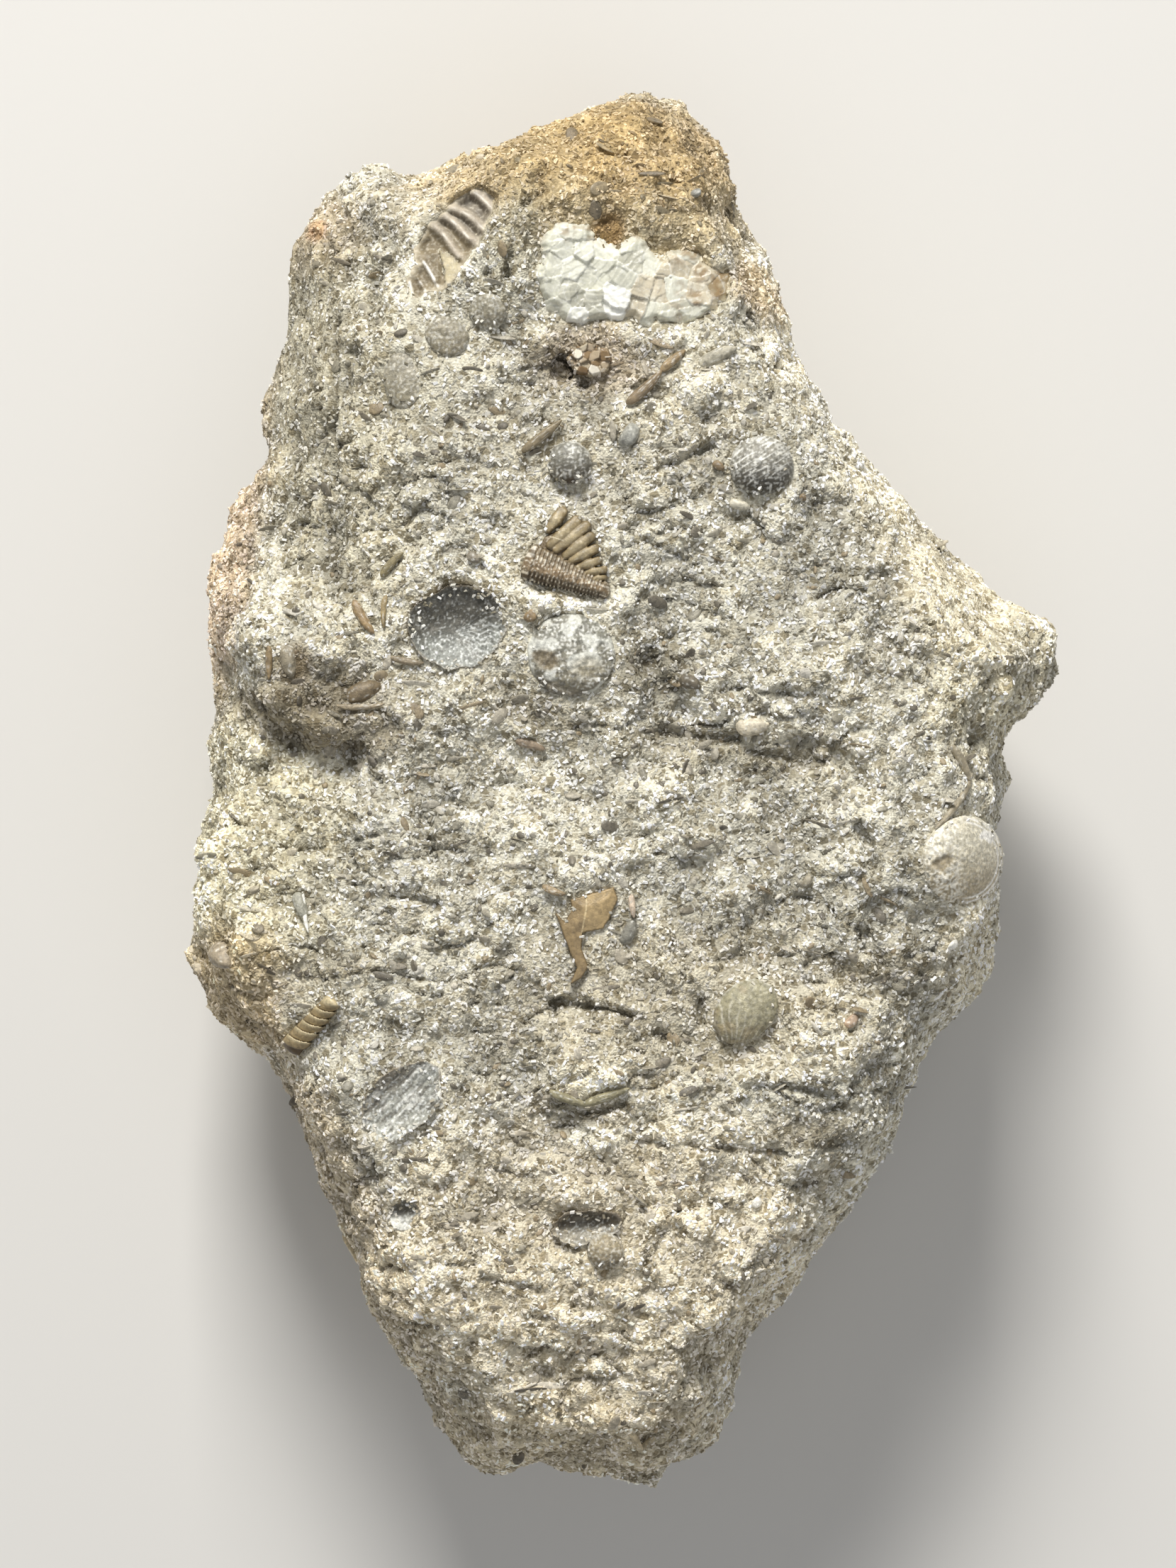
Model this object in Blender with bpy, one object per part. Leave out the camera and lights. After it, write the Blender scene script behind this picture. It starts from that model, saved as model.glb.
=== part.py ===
"""A broken piece of grey limestone, full of fossil shells, with a ribbed trilobite tail in its face.

The stone lies on its back. +Z is up, out of the fossil face, +Y runs towards the narrow iron-stained
end, and the origin is on the ground under the middle of the stone. Shapes are worked out in
millimetres and turned into metres when each object is made.
"""
import math

import bmesh
import bpy
import numpy as np
from mathutils import Matrix, Vector, noise
from mathutils.bvhtree import BVHTree

for leftover in list(bpy.data.objects):
    bpy.data.objects.remove(leftover, do_unlink=True)

# Driving dimensions, in millimetres.
MM = 0.001
STONE_LENGTH = 85.0
STONE_WIDTH = 53.2
RIM_HEIGHT = 14.0
RIM_WANDER = 3.5
RIM_SPACING = 15.0
CROWN_HEIGHT = 27.0
FRONT_SHOULDER = 4.5
BACK_SHOULDER = 11.0
BURIED_BASE = 0.8
GRID_CELL = 0.75
VOXEL = 0.5
STONE_TRIANGLES = 4900
GAP = 0.3

# The widest line round the stone, clockwise from the top end.
OUTLINE = (
    (-0.1, 42.5), (2.7, 42.5), (3.9, 41.1), (5.2, 40.0), (6.8, 37.3), (7.4, 34.4),
    (8.9, 31.8), (10.1, 28.3), (10.2, 26.6), (11.8, 24.2), (13.0, 22.3), (13.8, 22.1),
    (14.4, 19.7), (17.0, 17.6), (18.4, 16.2), (20.3, 13.6), (22.7, 11.5), (24.3, 11.3),
    (25.8, 9.9), (26.6, 8.0), (25.7, 5.8), (23.7, 4.2), (22.9, 2.6), (23.4, 1.1),
    (22.7, -2.1), (23.5, -5.8), (22.4, -9.5), (21.2, -12.5), (20.1, -14.1), (19.1, -14.2),
    (18.0, -16.7), (16.5, -20.7), (15.8, -22.1), (14.8, -22.6), (13.7, -24.9), (11.4, -27.6),
    (8.3, -31.8), (6.8, -34.1), (6.4, -36.4), (5.1, -39.2), (3.0, -40.2), (1.2, -42.5),
    (0.2, -42.5), (-0.6, -40.9), (-2.3, -40.8), (-5.0, -39.7), (-7.7, -40.5), (-8.8, -40.3),
    (-11.4, -37.1), (-14.1, -32.9), (-15.7, -30.8), (-16.1, -28.3), (-18.0, -24.4), (-19.4, -20.9),
    (-21.1, -16.3), (-21.6, -15.5), (-24.5, -13.7), (-25.8, -11.3), (-26.4, -8.6), (-26.6, -6.5),
    (-26.1, -3.9), (-25.5, -1.0), (-24.9, -0.2), (-24.9, 4.9), (-24.3, 6.5), (-25.3, 8.7),
    (-25.5, 10.3), (-25.2, 14.0), (-24.0, 16.6), (-22.0, 19.9), (-21.6, 22.8), (-20.2, 27.5),
    (-20.2, 30.9), (-20.6, 32.4), (-19.7, 34.6), (-18.7, 35.1), (-17.0, 37.1), (-14.4, 37.9),
    (-11.7, 37.3), (-8.9, 38.7), (-6.5, 39.3), (-5.4, 40.1), (-3.3, 40.6), (-1.2, 41.6),
)

# The crest above the left flank, from the ledge up to the top end, and how steeply the flank falls.
CREST_Y = (7.0, 8.2, 11.9, 14.8, 26.4, 30.6, 37.0)
CREST_X = (-27.0, -23.2, -16.0, -13.7, -13.5, -10.6, -8.5)
FLANK_GRADE = 0.72

# Where the face falls away: a point on the line, the way down, the grade and the rounding.
SLOPES = (
    ((0.0, 34.0), (0.15, 1.0), 0.55, 1.5),
    ((9.0, 24.0), (0.9, 0.4), 0.35, 1.5),
    ((16.5, 8.0), (1.0, 0.15), 0.42, 2.0),
    ((17.5, -12.0), (1.0, -0.3), 0.40, 2.0),
    ((0.0, -26.0), (0.05, -1.0), 0.42, 3.0),
    ((-18.0, -16.0), (-0.9, -0.4), 0.45, 2.0),
)

# Ledges in the face: start and end, the drop, the width of the step and how far the low ground runs.
LEDGES = (
    ((-26.0, 6.3), (-13.5, 3.2), 3.3, 1.5, 9.0),
    ((-12.5, 4.6), (-2.0, 2.6), 0.9, 1.0, 5.0),
    ((1.0, 7.4), (16.5, 1.6), 1.6, 1.2, 7.0),
    ((15.0, -4.6), (22.5, -6.6), 1.2, 0.9, 5.0),
    ((11.5, -9.4), (19.0, -11.0), 1.0, 0.9, 5.0),
    ((-21.0, -9.0), (-14.5, -11.0), 1.0, 1.0, 5.0),
    ((-5.5, -17.8), (3.0, -18.8), 0.8, 0.8, 4.0),
    ((5.5, -20.3), (13.5, -21.4), 1.1, 0.8, 4.0),
    ((-2.0, -22.4), (9.5, -24.0), 0.9, 0.9, 4.0),
    ((3.4, 19.6), (7.6, 20.8), 0.8, 0.6, 2.0),
)

# Round hollows left by shells that fell out: middle, radii, turn in degrees and depth.
HOLLOWS = (
    ((-9.8, 10.2), (2.5, 1.9), 0.0, 1.9),
    ((-13.1, -18.2), (2.2, 2.2), 0.0, 0.9),
    ((-13.0, -24.6), (1.0, 0.7), 15.0, 0.7),
    ((-3.2, -25.2), (2.0, 1.3), 0.0, 1.4),
    ((-2.2, -16.9), (2.4, 1.2), 0.0, 0.7),
    ((-3.6, 24.5), (0.9, 0.8), 0.0, 1.8),
    ((13.6, -2.9), (0.7, 1.6), 20.0, 0.8),
    ((-3.9, -12.6), (2.3, 0.6), 0.0, 0.8),
)

# Flat fractures on the sides and the back: a point on each and the way it faces.
FRACTURES = (
    ((19.0, 2.0, 4.0), (1.0, 0.1, -0.75)),
    ((11.5, 24.0, 5.0), (0.85, 0.45, -0.6)),
    ((1.0, 37.5, 5.0), (0.1, 1.0, -0.6)),
    ((-14.5, 31.5, 6.0), (-0.75, 0.65, -0.6)),
    ((-19.5, 12.0, 4.5), (-1.0, 0.15, -0.65)),
    ((-20.5, -6.0, 4.0), (-1.0, -0.1, -0.8)),
    ((-14.0, -24.0, 5.0), (-0.85, -0.45, -0.7)),
    ((-2.0, -35.5, 5.0), (-0.15, -1.0, -0.7)),
    ((10.5, -22.0, 4.0), (0.8, -0.5, -0.8)),
)

# Lumps all over the stone: their spacing, height and a shift that makes each set its own.
LUMPS = ((9.0, 0.75, 3.1), (3.6, 0.5, 17.4), (1.7, 0.28, 41.9))


def material(name, colour, roughness):
    """A plain stone finish."""
    finish = bpy.data.materials.new(name)
    finish.use_nodes = True
    shader = finish.node_tree.nodes["Principled BSDF"]
    shader.inputs["Base Color"].default_value = (*colour, 1.0)
    shader.inputs["Roughness"].default_value = roughness
    return finish


LIMESTONE = material("grey limestone", (0.50, 0.46, 0.36), 0.9)
TRILOBITE = material("brown trilobite shell", (0.24, 0.18, 0.10), 0.5)
CALCITE = material("white calcite", (0.75, 0.74, 0.64), 0.3)
RUSTY = material("iron-stained crystal", (0.28, 0.19, 0.11), 0.4)
SHELL = material("grey shell", (0.26, 0.25, 0.21), 0.45)


def object_from(name, bm, finish, smooth=False):
    """Turn a shape in millimetres into an object in metres."""
    bmesh.ops.recalc_face_normals(bm, faces=bm.faces)
    mesh = bpy.data.meshes.new(name)
    bm.to_mesh(mesh)
    bm.free()
    mesh.transform(Matrix.Scale(MM, 4))
    if smooth:
        mesh.shade_smooth()
        mesh.set_sharp_from_angle(angle=math.radians(35))
    mesh.materials.append(finish)
    item = bpy.data.objects.new(name, mesh)
    bpy.context.scene.collection.objects.link(item)
    return item


def outline_distance(x, y):
    """How far each point is inside the stone's outline; a negative value is outside it."""
    near = np.full(x.shape, 1e9)
    inside = np.zeros(x.shape, dtype=bool)
    nearest = np.zeros(x.shape + (2,))
    ends = OUTLINE[1:] + OUTLINE[:1]
    for (ax, ay), (bx, by) in zip(OUTLINE, ends):
        run_x, run_y = bx - ax, by - ay
        along = ((x - ax) * run_x + (y - ay) * run_y) / (run_x ** 2 + run_y ** 2)
        along = np.clip(along, 0.0, 1.0)
        foot_x, foot_y = ax + along * run_x, ay + along * run_y
        reach = np.hypot(x - foot_x, y - foot_y)
        closer = reach < near
        near = np.where(closer, reach, near)
        nearest[closer] = np.stack((foot_x, foot_y), axis=-1)[closer]
        crosses = (ay > y) != (by > y)
        if run_y:
            inside ^= crosses & (x < ax + (y - ay) * run_x / run_y)
    return np.where(inside, near, -near), nearest


def soft_ramp(run, rounding):
    """Zero before a line, a straight ramp after it, and a rounded turn between."""
    return np.logaddexp(0.0, run / rounding) * rounding


def smooth_step(value):
    value = np.clip(value, 0.0, 1.0)
    return value * value * (3.0 - 2.0 * value)


def face_height(x, y):
    """Height of the fossil face before its edge is rounded."""
    z = np.full(x.shape, CROWN_HEIGHT)
    z -= FLANK_GRADE * soft_ramp(np.interp(y, CREST_Y, CREST_X, left=-40.0) - x, 0.8)
    for (at_x, at_y), way, grade, rounding in SLOPES:
        way = Vector(way).normalized()
        z -= grade * soft_ramp((x - at_x) * way.x + (y - at_y) * way.y - rounding, rounding)
    for start, end, drop, width, fade in LEDGES:
        line = Vector(end) - Vector(start)
        length = line.length
        line.normalize()
        along = ((x - start[0]) * line.x + (y - start[1]) * line.y) / length
        below = (x - start[0]) * line.y - (y - start[1]) * line.x
        bend = 0.5 * np.sin(along * 9.0 + start[0]) + 0.25 * np.sin(along * 23.0 + start[1])
        ends = smooth_step(along / 0.2) * smooth_step((1.0 - along) / 0.2)
        z -= drop * smooth_step((below + bend) / width) * np.exp(-np.maximum(below, 0.0) / fade) * ends
    for (at_x, at_y), (wide, high), turn, depth in HOLLOWS:
        spin = math.radians(turn)
        across = ((x - at_x) * math.cos(spin) + (y - at_y) * math.sin(spin)) / wide
        up = ((y - at_y) * math.cos(spin) - (x - at_x) * math.sin(spin)) / high
        z -= depth * np.sqrt(np.clip(1.0 - across ** 2 - up ** 2, 0.0, 1.0))
    return z


def shoulder(inside, width):
    """A quarter-round that rises from the outline to full height over its width."""
    return np.sqrt(1.0 - (1.0 - np.clip(inside / width, 0.0, 1.0)) ** 2)


def stone_sheet(bm):
    """A grid trimmed to the outline, with its edge moved on to the outline."""
    half_wide, half_long = 28.0, 44.0
    bmesh.ops.create_grid(bm, x_segments=round(2 * half_wide / GRID_CELL),
                          y_segments=round(2 * half_long / GRID_CELL), size=1.0)
    bmesh.ops.scale(bm, vec=(half_wide, half_long, 1.0), verts=bm.verts)
    places = np.array([vert.co[:2] for vert in bm.verts])
    inside, _ = outline_distance(places[:, 0], places[:, 1])
    outer = [vert for vert, depth in zip(bm.verts, inside) if depth < 0.2 * GRID_CELL]
    bmesh.ops.delete(bm, geom=outer, context="VERTS")
    loose = [vert for vert in bm.verts if len(vert.link_faces) < 2]
    bmesh.ops.delete(bm, geom=loose, context="VERTS")
    edge = [vert for vert in bm.verts if vert.is_boundary]
    places = np.array([vert.co[:2] for vert in edge])
    _, nearest = outline_distance(places[:, 0], places[:, 1])
    for vert, place in zip(edge, nearest):
        vert.co.xy = place


def bare_mesh(name, bm, *modifiers):
    """The mesh that a shape becomes once the given modifiers have run."""
    mesh = bpy.data.meshes.new(name)
    bm.to_mesh(mesh)
    bm.free()
    item = bpy.data.objects.new(name, mesh)
    bpy.context.scene.collection.objects.link(item)
    for kind, settings in modifiers:
        modifier = item.modifiers.new(kind.lower(), kind)
        for key, value in settings.items():
            setattr(modifier, key, value)
    bpy.context.view_layer.update()
    result = bpy.data.meshes.new_from_object(item.evaluated_get(bpy.context.evaluated_depsgraph_get()))
    bpy.data.objects.remove(item, do_unlink=True)
    bpy.data.meshes.remove(mesh)
    return result


def stone_blank():
    """The whole stone, front and back sheets joined round the rim, as one even mesh."""
    bm = bmesh.new()
    stone_sheet(bm)
    front = list(bm.faces)
    copied = bmesh.ops.duplicate(bm, geom=bm.verts[:] + bm.edges[:] + bm.faces[:])["geom"]
    back = {item for item in copied if isinstance(item, bmesh.types.BMVert)}
    places = np.array([vert.co[:2] for vert in bm.verts])
    inside, _ = outline_distance(places[:, 0], places[:, 1])
    inside = np.maximum(inside, 0.0)
    face = face_height(places[:, 0], places[:, 1])
    for vert, depth, height in zip(bm.verts, inside, face):
        wander = noise.noise(Vector((vert.co.x, vert.co.y, 7.0)) / RIM_SPACING)
        rim = RIM_HEIGHT + RIM_WANDER * wander
        if vert in back:
            vert.co.z = (rim - 0.4) * (1.0 - shoulder(depth, BACK_SHOULDER)) - BURIED_BASE
        else:
            height = max(height, rim + 2.0)
            vert.co.z = rim + (height - rim) * shoulder(depth, FRONT_SHOULDER)
    bmesh.ops.reverse_faces(bm, faces=[face for face in bm.faces if face not in set(front)])
    rims = [edge for edge in bm.edges if edge.is_boundary]
    bmesh.ops.bridge_loops(bm, edges=rims)
    bmesh.ops.recalc_face_normals(bm, faces=bm.faces)
    return bare_mesh("blank", bm, ("REMESH", {"mode": "VOXEL", "voxel_size": VOXEL}))


def roughen(mesh):
    """Raise lumps all over, then flatten the fractures on the sides and the back."""
    bm = bmesh.new()
    bm.from_mesh(mesh)
    bmesh.ops.smooth_vert(bm, verts=bm.verts, factor=0.5, use_axis_x=True, use_axis_y=True,
                          use_axis_z=True)
    bm.normal_update()
    for vert in bm.verts:
        push = 0.0
        for spacing, height, shift in LUMPS:
            push += height * noise.noise(vert.co / spacing + Vector((shift, -shift, shift)))
        vert.co += vert.normal * push
    for point, way in FRACTURES:
        point = Vector(point)
        way = Vector(way).normalized()
        for vert in bm.verts:
            beyond = (vert.co - point).dot(way)
            below_rim = min(max((RIM_HEIGHT - 2.0 - vert.co.z) / 2.0, 0.0), 1.0)
            if beyond > 0.0 and below_rim > 0.0:
                vert.co -= way * beyond * below_rim * 0.9
    return bm


def centre_and_size(bm):
    """Bring the stone to its width and length, with the origin under the middle of its box."""
    places = np.array([vert.co[:] for vert in bm.verts])
    low, high = places.min(axis=0), places.max(axis=0)
    middle, extent = (low + high) / 2.0, high - low
    bmesh.ops.translate(bm, vec=(-middle[0], -middle[1], 0.0), verts=bm.verts)
    bmesh.ops.scale(bm, vec=(STONE_WIDTH / extent[0], STONE_LENGTH / extent[1], 1.0), verts=bm.verts)


def cut_base(mesh):
    """Cut the underside off flat, where the stone rests."""
    bm = bmesh.new()
    bm.from_mesh(mesh)
    bmesh.ops.bisect_plane(bm, geom=bm.verts[:] + bm.edges[:] + bm.faces[:], dist=1e-4,
                           plane_co=(0.0, 0.0, 0.0), plane_no=(0.0, 0.0, 1.0), clear_inner=True)
    bmesh.ops.holes_fill(bm, edges=[edge for edge in bm.edges if edge.is_boundary], sides=0)
    for vert in bm.verts:
        if abs(vert.co.z) < 1e-3:
            vert.co.z = 0.0
    bmesh.ops.triangulate(bm, faces=bm.faces)
    return bm


rough = roughen(stone_blank())
centre_and_size(rough)
share = STONE_TRIANGLES / (2 * len(rough.faces))
stone = cut_base(bare_mesh("thinned", rough, ("DECIMATE", {"ratio": share})))
surface = BVHTree.FromBMesh(stone)
limestone = object_from("limestone_matrix", stone, LIMESTONE)


def ground(x, y):
    """The point of the fossil face above x, y."""
    return surface.ray_cast(Vector((x, y, 60.0)), Vector((0.0, 0.0, -1.0)))[0]


def lie_on_face(x, y, turn, reach):
    """The placing of a piece on the face: its tilt follows the ground over its reach."""
    east = ground(x + reach, y) - ground(x - reach, y)
    north = ground(x, y + reach) - ground(x, y - reach)
    up = east.cross(north).normalized()
    tilt = Vector((0.0, 0.0, 1.0)).rotation_difference(up).to_matrix().to_4x4()
    return Matrix.Translation(ground(x, y)) @ tilt @ Matrix.Rotation(math.radians(turn), 4, "Z")


def cut_out(name, bm):
    """Cut a shape out of the limestone."""
    cutter = object_from(name, bm, LIMESTONE)
    cutter.hide_render = True
    cutter.display_type = "WIRE"
    boolean = limestone.modifiers.new(name, "BOOLEAN")
    boolean.operation = "DIFFERENCE"
    boolean.solver = "EXACT"
    boolean.object = cutter


def ball(placing, radii, rise, extra, subdivisions):
    """An egg shape with its middle at a rise over the ground, larger all round by extra."""
    bm = bmesh.new()
    sizes = [radius + extra for radius in radii]
    bmesh.ops.create_icosphere(bm, subdivisions=subdivisions, radius=1.0)
    bmesh.ops.scale(bm, vec=sizes, verts=bm.verts)
    bmesh.ops.translate(bm, vec=(0.0, 0.0, rise), verts=bm.verts)
    bmesh.ops.transform(bm, matrix=placing, verts=bm.verts)
    return bm


def inlaid_ball(name, at, radii, turn, rise, finish, subdivisions=2):
    """A rounded fossil sunk in a socket of its own shape."""
    placing = lie_on_face(at[0], at[1], turn, 0.7 * max(radii[:2]))
    fitted = ball(placing, radii, rise, 0.0, subdivisions)
    socket = ball(placing, radii, rise, GAP * 1.25, subdivisions)
    cut_out(name + "_socket", socket)
    return object_from(name, fitted, finish, smooth=True)


def widened(points, extra):
    """A closed outline with every corner moved outwards, or inwards for a negative value."""
    result = []
    area = sum(ax * by - bx * ay for (ax, ay), (bx, by) in zip(points, points[1:] + points[:1]))
    side = 1.0 if area > 0 else -1.0
    for index, point in enumerate(points):
        before = (Vector(point) - Vector(points[index - 1])).normalized()
        after = (Vector(points[(index + 1) % len(points)]) - Vector(point)).normalized()
        outward = Vector((before.y + after.y, -before.x - after.x)) * side
        stretch = 1.0 / max(0.5, outward.length / 2.0)
        result.append(Vector(point) + outward.normalized() * extra * stretch)
    return [tuple(point) for point in result]


def prism(points, low, high):
    """An upright block with the given outline."""
    bm = bmesh.new()
    base = bm.faces.new([bm.verts.new((x, y, low)) for x, y in points])
    grown = bmesh.ops.extrude_face_region(bm, geom=[base])["geom"]
    top = [item for item in grown if isinstance(item, bmesh.types.BMVert)]
    bmesh.ops.translate(bm, vec=(0.0, 0.0, high - low), verts=top)
    bmesh.ops.recalc_face_normals(bm, faces=bm.faces)
    return bm


def inlaid_plate(name, at, points, turn, thickness, proud, finish, crown=0.0):
    """A thin piece of shell with a hand-drawn outline, set in a socket."""
    placing = lie_on_face(at[0], at[1], turn, 1.0)
    plate = prism(points, proud - thickness, proud)
    top = [face for face in plate.faces if face.normal.z > 0.9]
    inner = bmesh.ops.inset_region(plate, faces=top, thickness=0.18, depth=0.0)
    if inner:
        bmesh.ops.translate(plate, vec=(0.0, 0.0, 0.12 + crown), verts=top[0].verts)
    bmesh.ops.transform(plate, matrix=placing, verts=plate.verts)
    socket = prism(widened(points, GAP * 1.1), proud - thickness - GAP, 6.0)
    bmesh.ops.transform(socket, matrix=placing, verts=socket.verts)
    cut_out(name + "_socket", socket)
    return object_from(name, plate, finish)


# The trilobite's tail shield: a ringed axis along its lower edge, and eight ribs that fan out over it.
TAIL_AT = (-3.7, 13.3)
TAIL_AXIS = ((-6.2, 12.55), (-1.3, 11.15))
TAIL_AXIS_WIDE = (0.95, 0.62)
TAIL_RINGS = 14
TAIL_THICK = 1.3
TAIL_RISE = 0.25
TAIL_RIBS = (
    ((-4.75, 14.3), (-3.55, 16.35)), ((-4.35, 13.75), (-2.85, 15.85)), ((-3.85, 13.75), (-2.35, 15.35)),
    ((-3.6, 13.3), (-2.1, 14.6)), ((-3.05, 13.15), (-1.8, 13.95)), ((-2.75, 12.95), (-1.6, 13.35)),
    ((-2.4, 12.65), (-1.35, 12.83)), ((-2.0, 12.35), (-1.2, 12.4)),
)
TAIL_RIB_WIDE = 0.30
TAIL_CELL = 0.42
TAIL_OUTLINE = [
    (-6.5, 12.9), (-6.2, 11.8), (-4.6, 11.3), (-2.6, 10.85), (-1.2, 10.75), (-0.75, 11.3),
    (-0.95, 12.3), (-1.25, 13.1), (-1.55, 14.2), (-2.0, 15.2), (-2.6, 16.1), (-3.4, 16.65),
    (-3.9, 16.3), (-4.5, 15.2), (-5.0, 14.4), (-5.6, 13.5),
]


def nearest_on(point, start, end):
    """How far along a line the nearest place to a point is, and how far off it the point lies."""
    start, end = Vector(start), Vector(end)
    line = end - start
    along = min(max((point - start).dot(line) / line.length_squared, 0.0), 1.0)
    return along, (point - start - line * along).length


def tail_relief(x, y):
    """Height of the tail's rings and ribs over its plate."""
    point = Vector((x, y))
    along, off = nearest_on(point, *TAIL_AXIS)
    half = TAIL_AXIS_WIDE[0] + (TAIL_AXIS_WIDE[1] - TAIL_AXIS_WIDE[0]) * along
    rise = 0.0
    if off < half:
        rise = 0.62 * math.sqrt(1.0 - (off / half) ** 2)
        rise += 0.06 * math.cos(2.0 * math.pi * TAIL_RINGS * along)
    for start, end in TAIL_RIBS:
        _, off = nearest_on(point, start, end)
        if off < TAIL_RIB_WIDE:
            rise = max(rise, 0.42 * math.sqrt(1.0 - (off / TAIL_RIB_WIDE) ** 2))
    return rise


def make_tail():
    middle = Vector(TAIL_AT)
    placing = lie_on_face(TAIL_AT[0], TAIL_AT[1], 0.0, 2.0)
    points = [tuple(Vector(point) - middle) for point in TAIL_OUTLINE]
    bm = prism(points, TAIL_RISE - TAIL_THICK, TAIL_RISE)
    top = [face for face in bm.faces if face.normal.z > 0.9]
    bmesh.ops.triangulate(bm, faces=top)
    for _ in range(4):
        edges = [edge for edge in bm.edges
                 if all(vert.co.z > TAIL_RISE - 0.01 for vert in edge.verts) and edge.calc_length() > TAIL_CELL]
        bmesh.ops.subdivide_edges(bm, edges=edges, cuts=1, use_grid_fill=True)
    bmesh.ops.triangulate(bm, faces=bm.faces)
    for vert in bm.verts:
        if vert.co.z > TAIL_RISE - 0.01:
            vert.co.z += tail_relief(vert.co.x + middle.x, vert.co.y + middle.y)
    bmesh.ops.transform(bm, matrix=placing, verts=bm.verts)
    socket = prism(widened(points, GAP * 1.1), TAIL_RISE - TAIL_THICK - GAP, 6.0)
    bmesh.ops.transform(socket, matrix=placing, verts=socket.verts)
    cut_out("trilobite_tail_socket", socket)
    return object_from("trilobite_tail", bm, TRILOBITE)


make_tail()

# The ribbed hollow that another tail left near the top edge: each groove's two ends and its width.
MOULD_GROOVES = (
    ((-8.7, 35.6), (-7.7, 34.95), 0.36), ((-9.5, 35.05), (-7.95, 34.15), 0.38),
    ((-10.5, 34.25), (-8.3, 33.35), 0.40), ((-11.2, 33.5), (-8.9, 32.3), 0.40),
    ((-11.6, 32.75), (-9.7, 31.35), 0.36), ((-11.9, 31.0), (-11.05, 29.7), 0.33),
    ((-12.45, 30.5), (-11.75, 29.2), 0.30), ((-13.0, 30.1), (-12.45, 28.9), 0.28),
)
for number, (start, end, width) in enumerate(MOULD_GROOVES):
    line = Vector(end) - Vector(start)
    middle = (Vector(start) + Vector(end)) / 2.0
    placing = lie_on_face(middle.x, middle.y, math.degrees(math.atan2(line.y, line.x)), 1.0)
    groove = ball(placing, (line.length / 2.0, width, width * 1.3), 0.08, 0.0, 2)
    cut_out("mould_groove_%d" % (number + 1), groove)

# A row of six overlapping body segments of a trilobite at the left edge, each one a short bar.
SEGMENTS_AT = (-18.5, -13.75)
SEGMENTS_TURN = 41.0
SEGMENT_SPACING = 0.62
SEGMENT_SIZE = (0.44, 0.66, 0.5)
SEGMENT_COUNT = 6


def segment_row(extra):
    """The joined bars, in their own frame, larger all round by extra."""
    bm = bmesh.new()
    long = SEGMENT_SPACING * (SEGMENT_COUNT + 0.4)
    wide = SEGMENT_SIZE[1] + extra
    bmesh.ops.create_grid(bm, x_segments=SEGMENT_COUNT * 4, y_segments=6, size=1.0)
    bmesh.ops.scale(bm, vec=(long / 2.0 + extra, wide, 1.0), verts=bm.verts)
    grown = bmesh.ops.extrude_face_region(bm, geom=bm.faces[:])["geom"]
    top = [item for item in grown if isinstance(item, bmesh.types.BMVert)]
    for vert in bm.verts:
        vert.co.z = -0.7 - extra
    for vert in top:
        across = min(abs(vert.co.y) / wide, 1.0)
        ripple = abs(math.sin(math.pi * (vert.co.x / SEGMENT_SPACING + 0.5)))
        vert.co.z = 0.05 + extra + (0.35 + 0.25 * ripple) * math.sqrt(1.0 - 0.9 * across ** 2)
    return bm


def make_segments():
    placing = lie_on_face(*SEGMENTS_AT, SEGMENTS_TURN, 1.2)
    row, socket = segment_row(0.0), segment_row(GAP * 1.2)
    for shape in (row, socket):
        bmesh.ops.transform(shape, matrix=placing, verts=shape.verts)
    cut_out("trilobite_segments_socket", socket)
    return object_from("trilobite_segments", row, TRILOBITE)


make_segments()

# The trilobite's cheek: a smooth thin plate, drawn from its middle.
CHEEK_AT = (-2.3, -8.1)
CHEEK_OUTLINE = [
    (-1.15, 1.5), (-1.05, 0.6), (-1.75, 0.55), (-1.25, -0.8), (-0.85, -2.4), (-1.05, -3.15),
    (-0.3, -2.95), (0.15, -1.85), (-0.3, -1.0), (-0.15, -0.15), (1.0, 0.1), (1.7, 1.85), (1.3, 2.3),
]
inlaid_plate("trilobite_cheek", CHEEK_AT, CHEEK_OUTLINE, 0.0, 0.9, 0.15, TRILOBITE, crown=0.1)


def outer_skin(mesh):
    """Keep the largest connected skin, which leaves out the small voids between crystals."""
    bm = bmesh.new()
    bm.from_mesh(mesh)
    unseen = set(bm.verts)
    skins = []
    while unseen:
        skin, edge = set(), {unseen.pop()}
        while edge:
            skin |= edge
            edge = {link.other_vert(vert) for vert in edge for link in vert.link_edges} - skin
        unseen -= skin
        skins.append(skin)
    skins.sort(key=len)
    for skin in skins[:-1]:
        bmesh.ops.delete(bm, geom=list(skin), context="VERTS")
    bm.to_mesh(mesh)
    bm.free()
    return mesh


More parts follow.
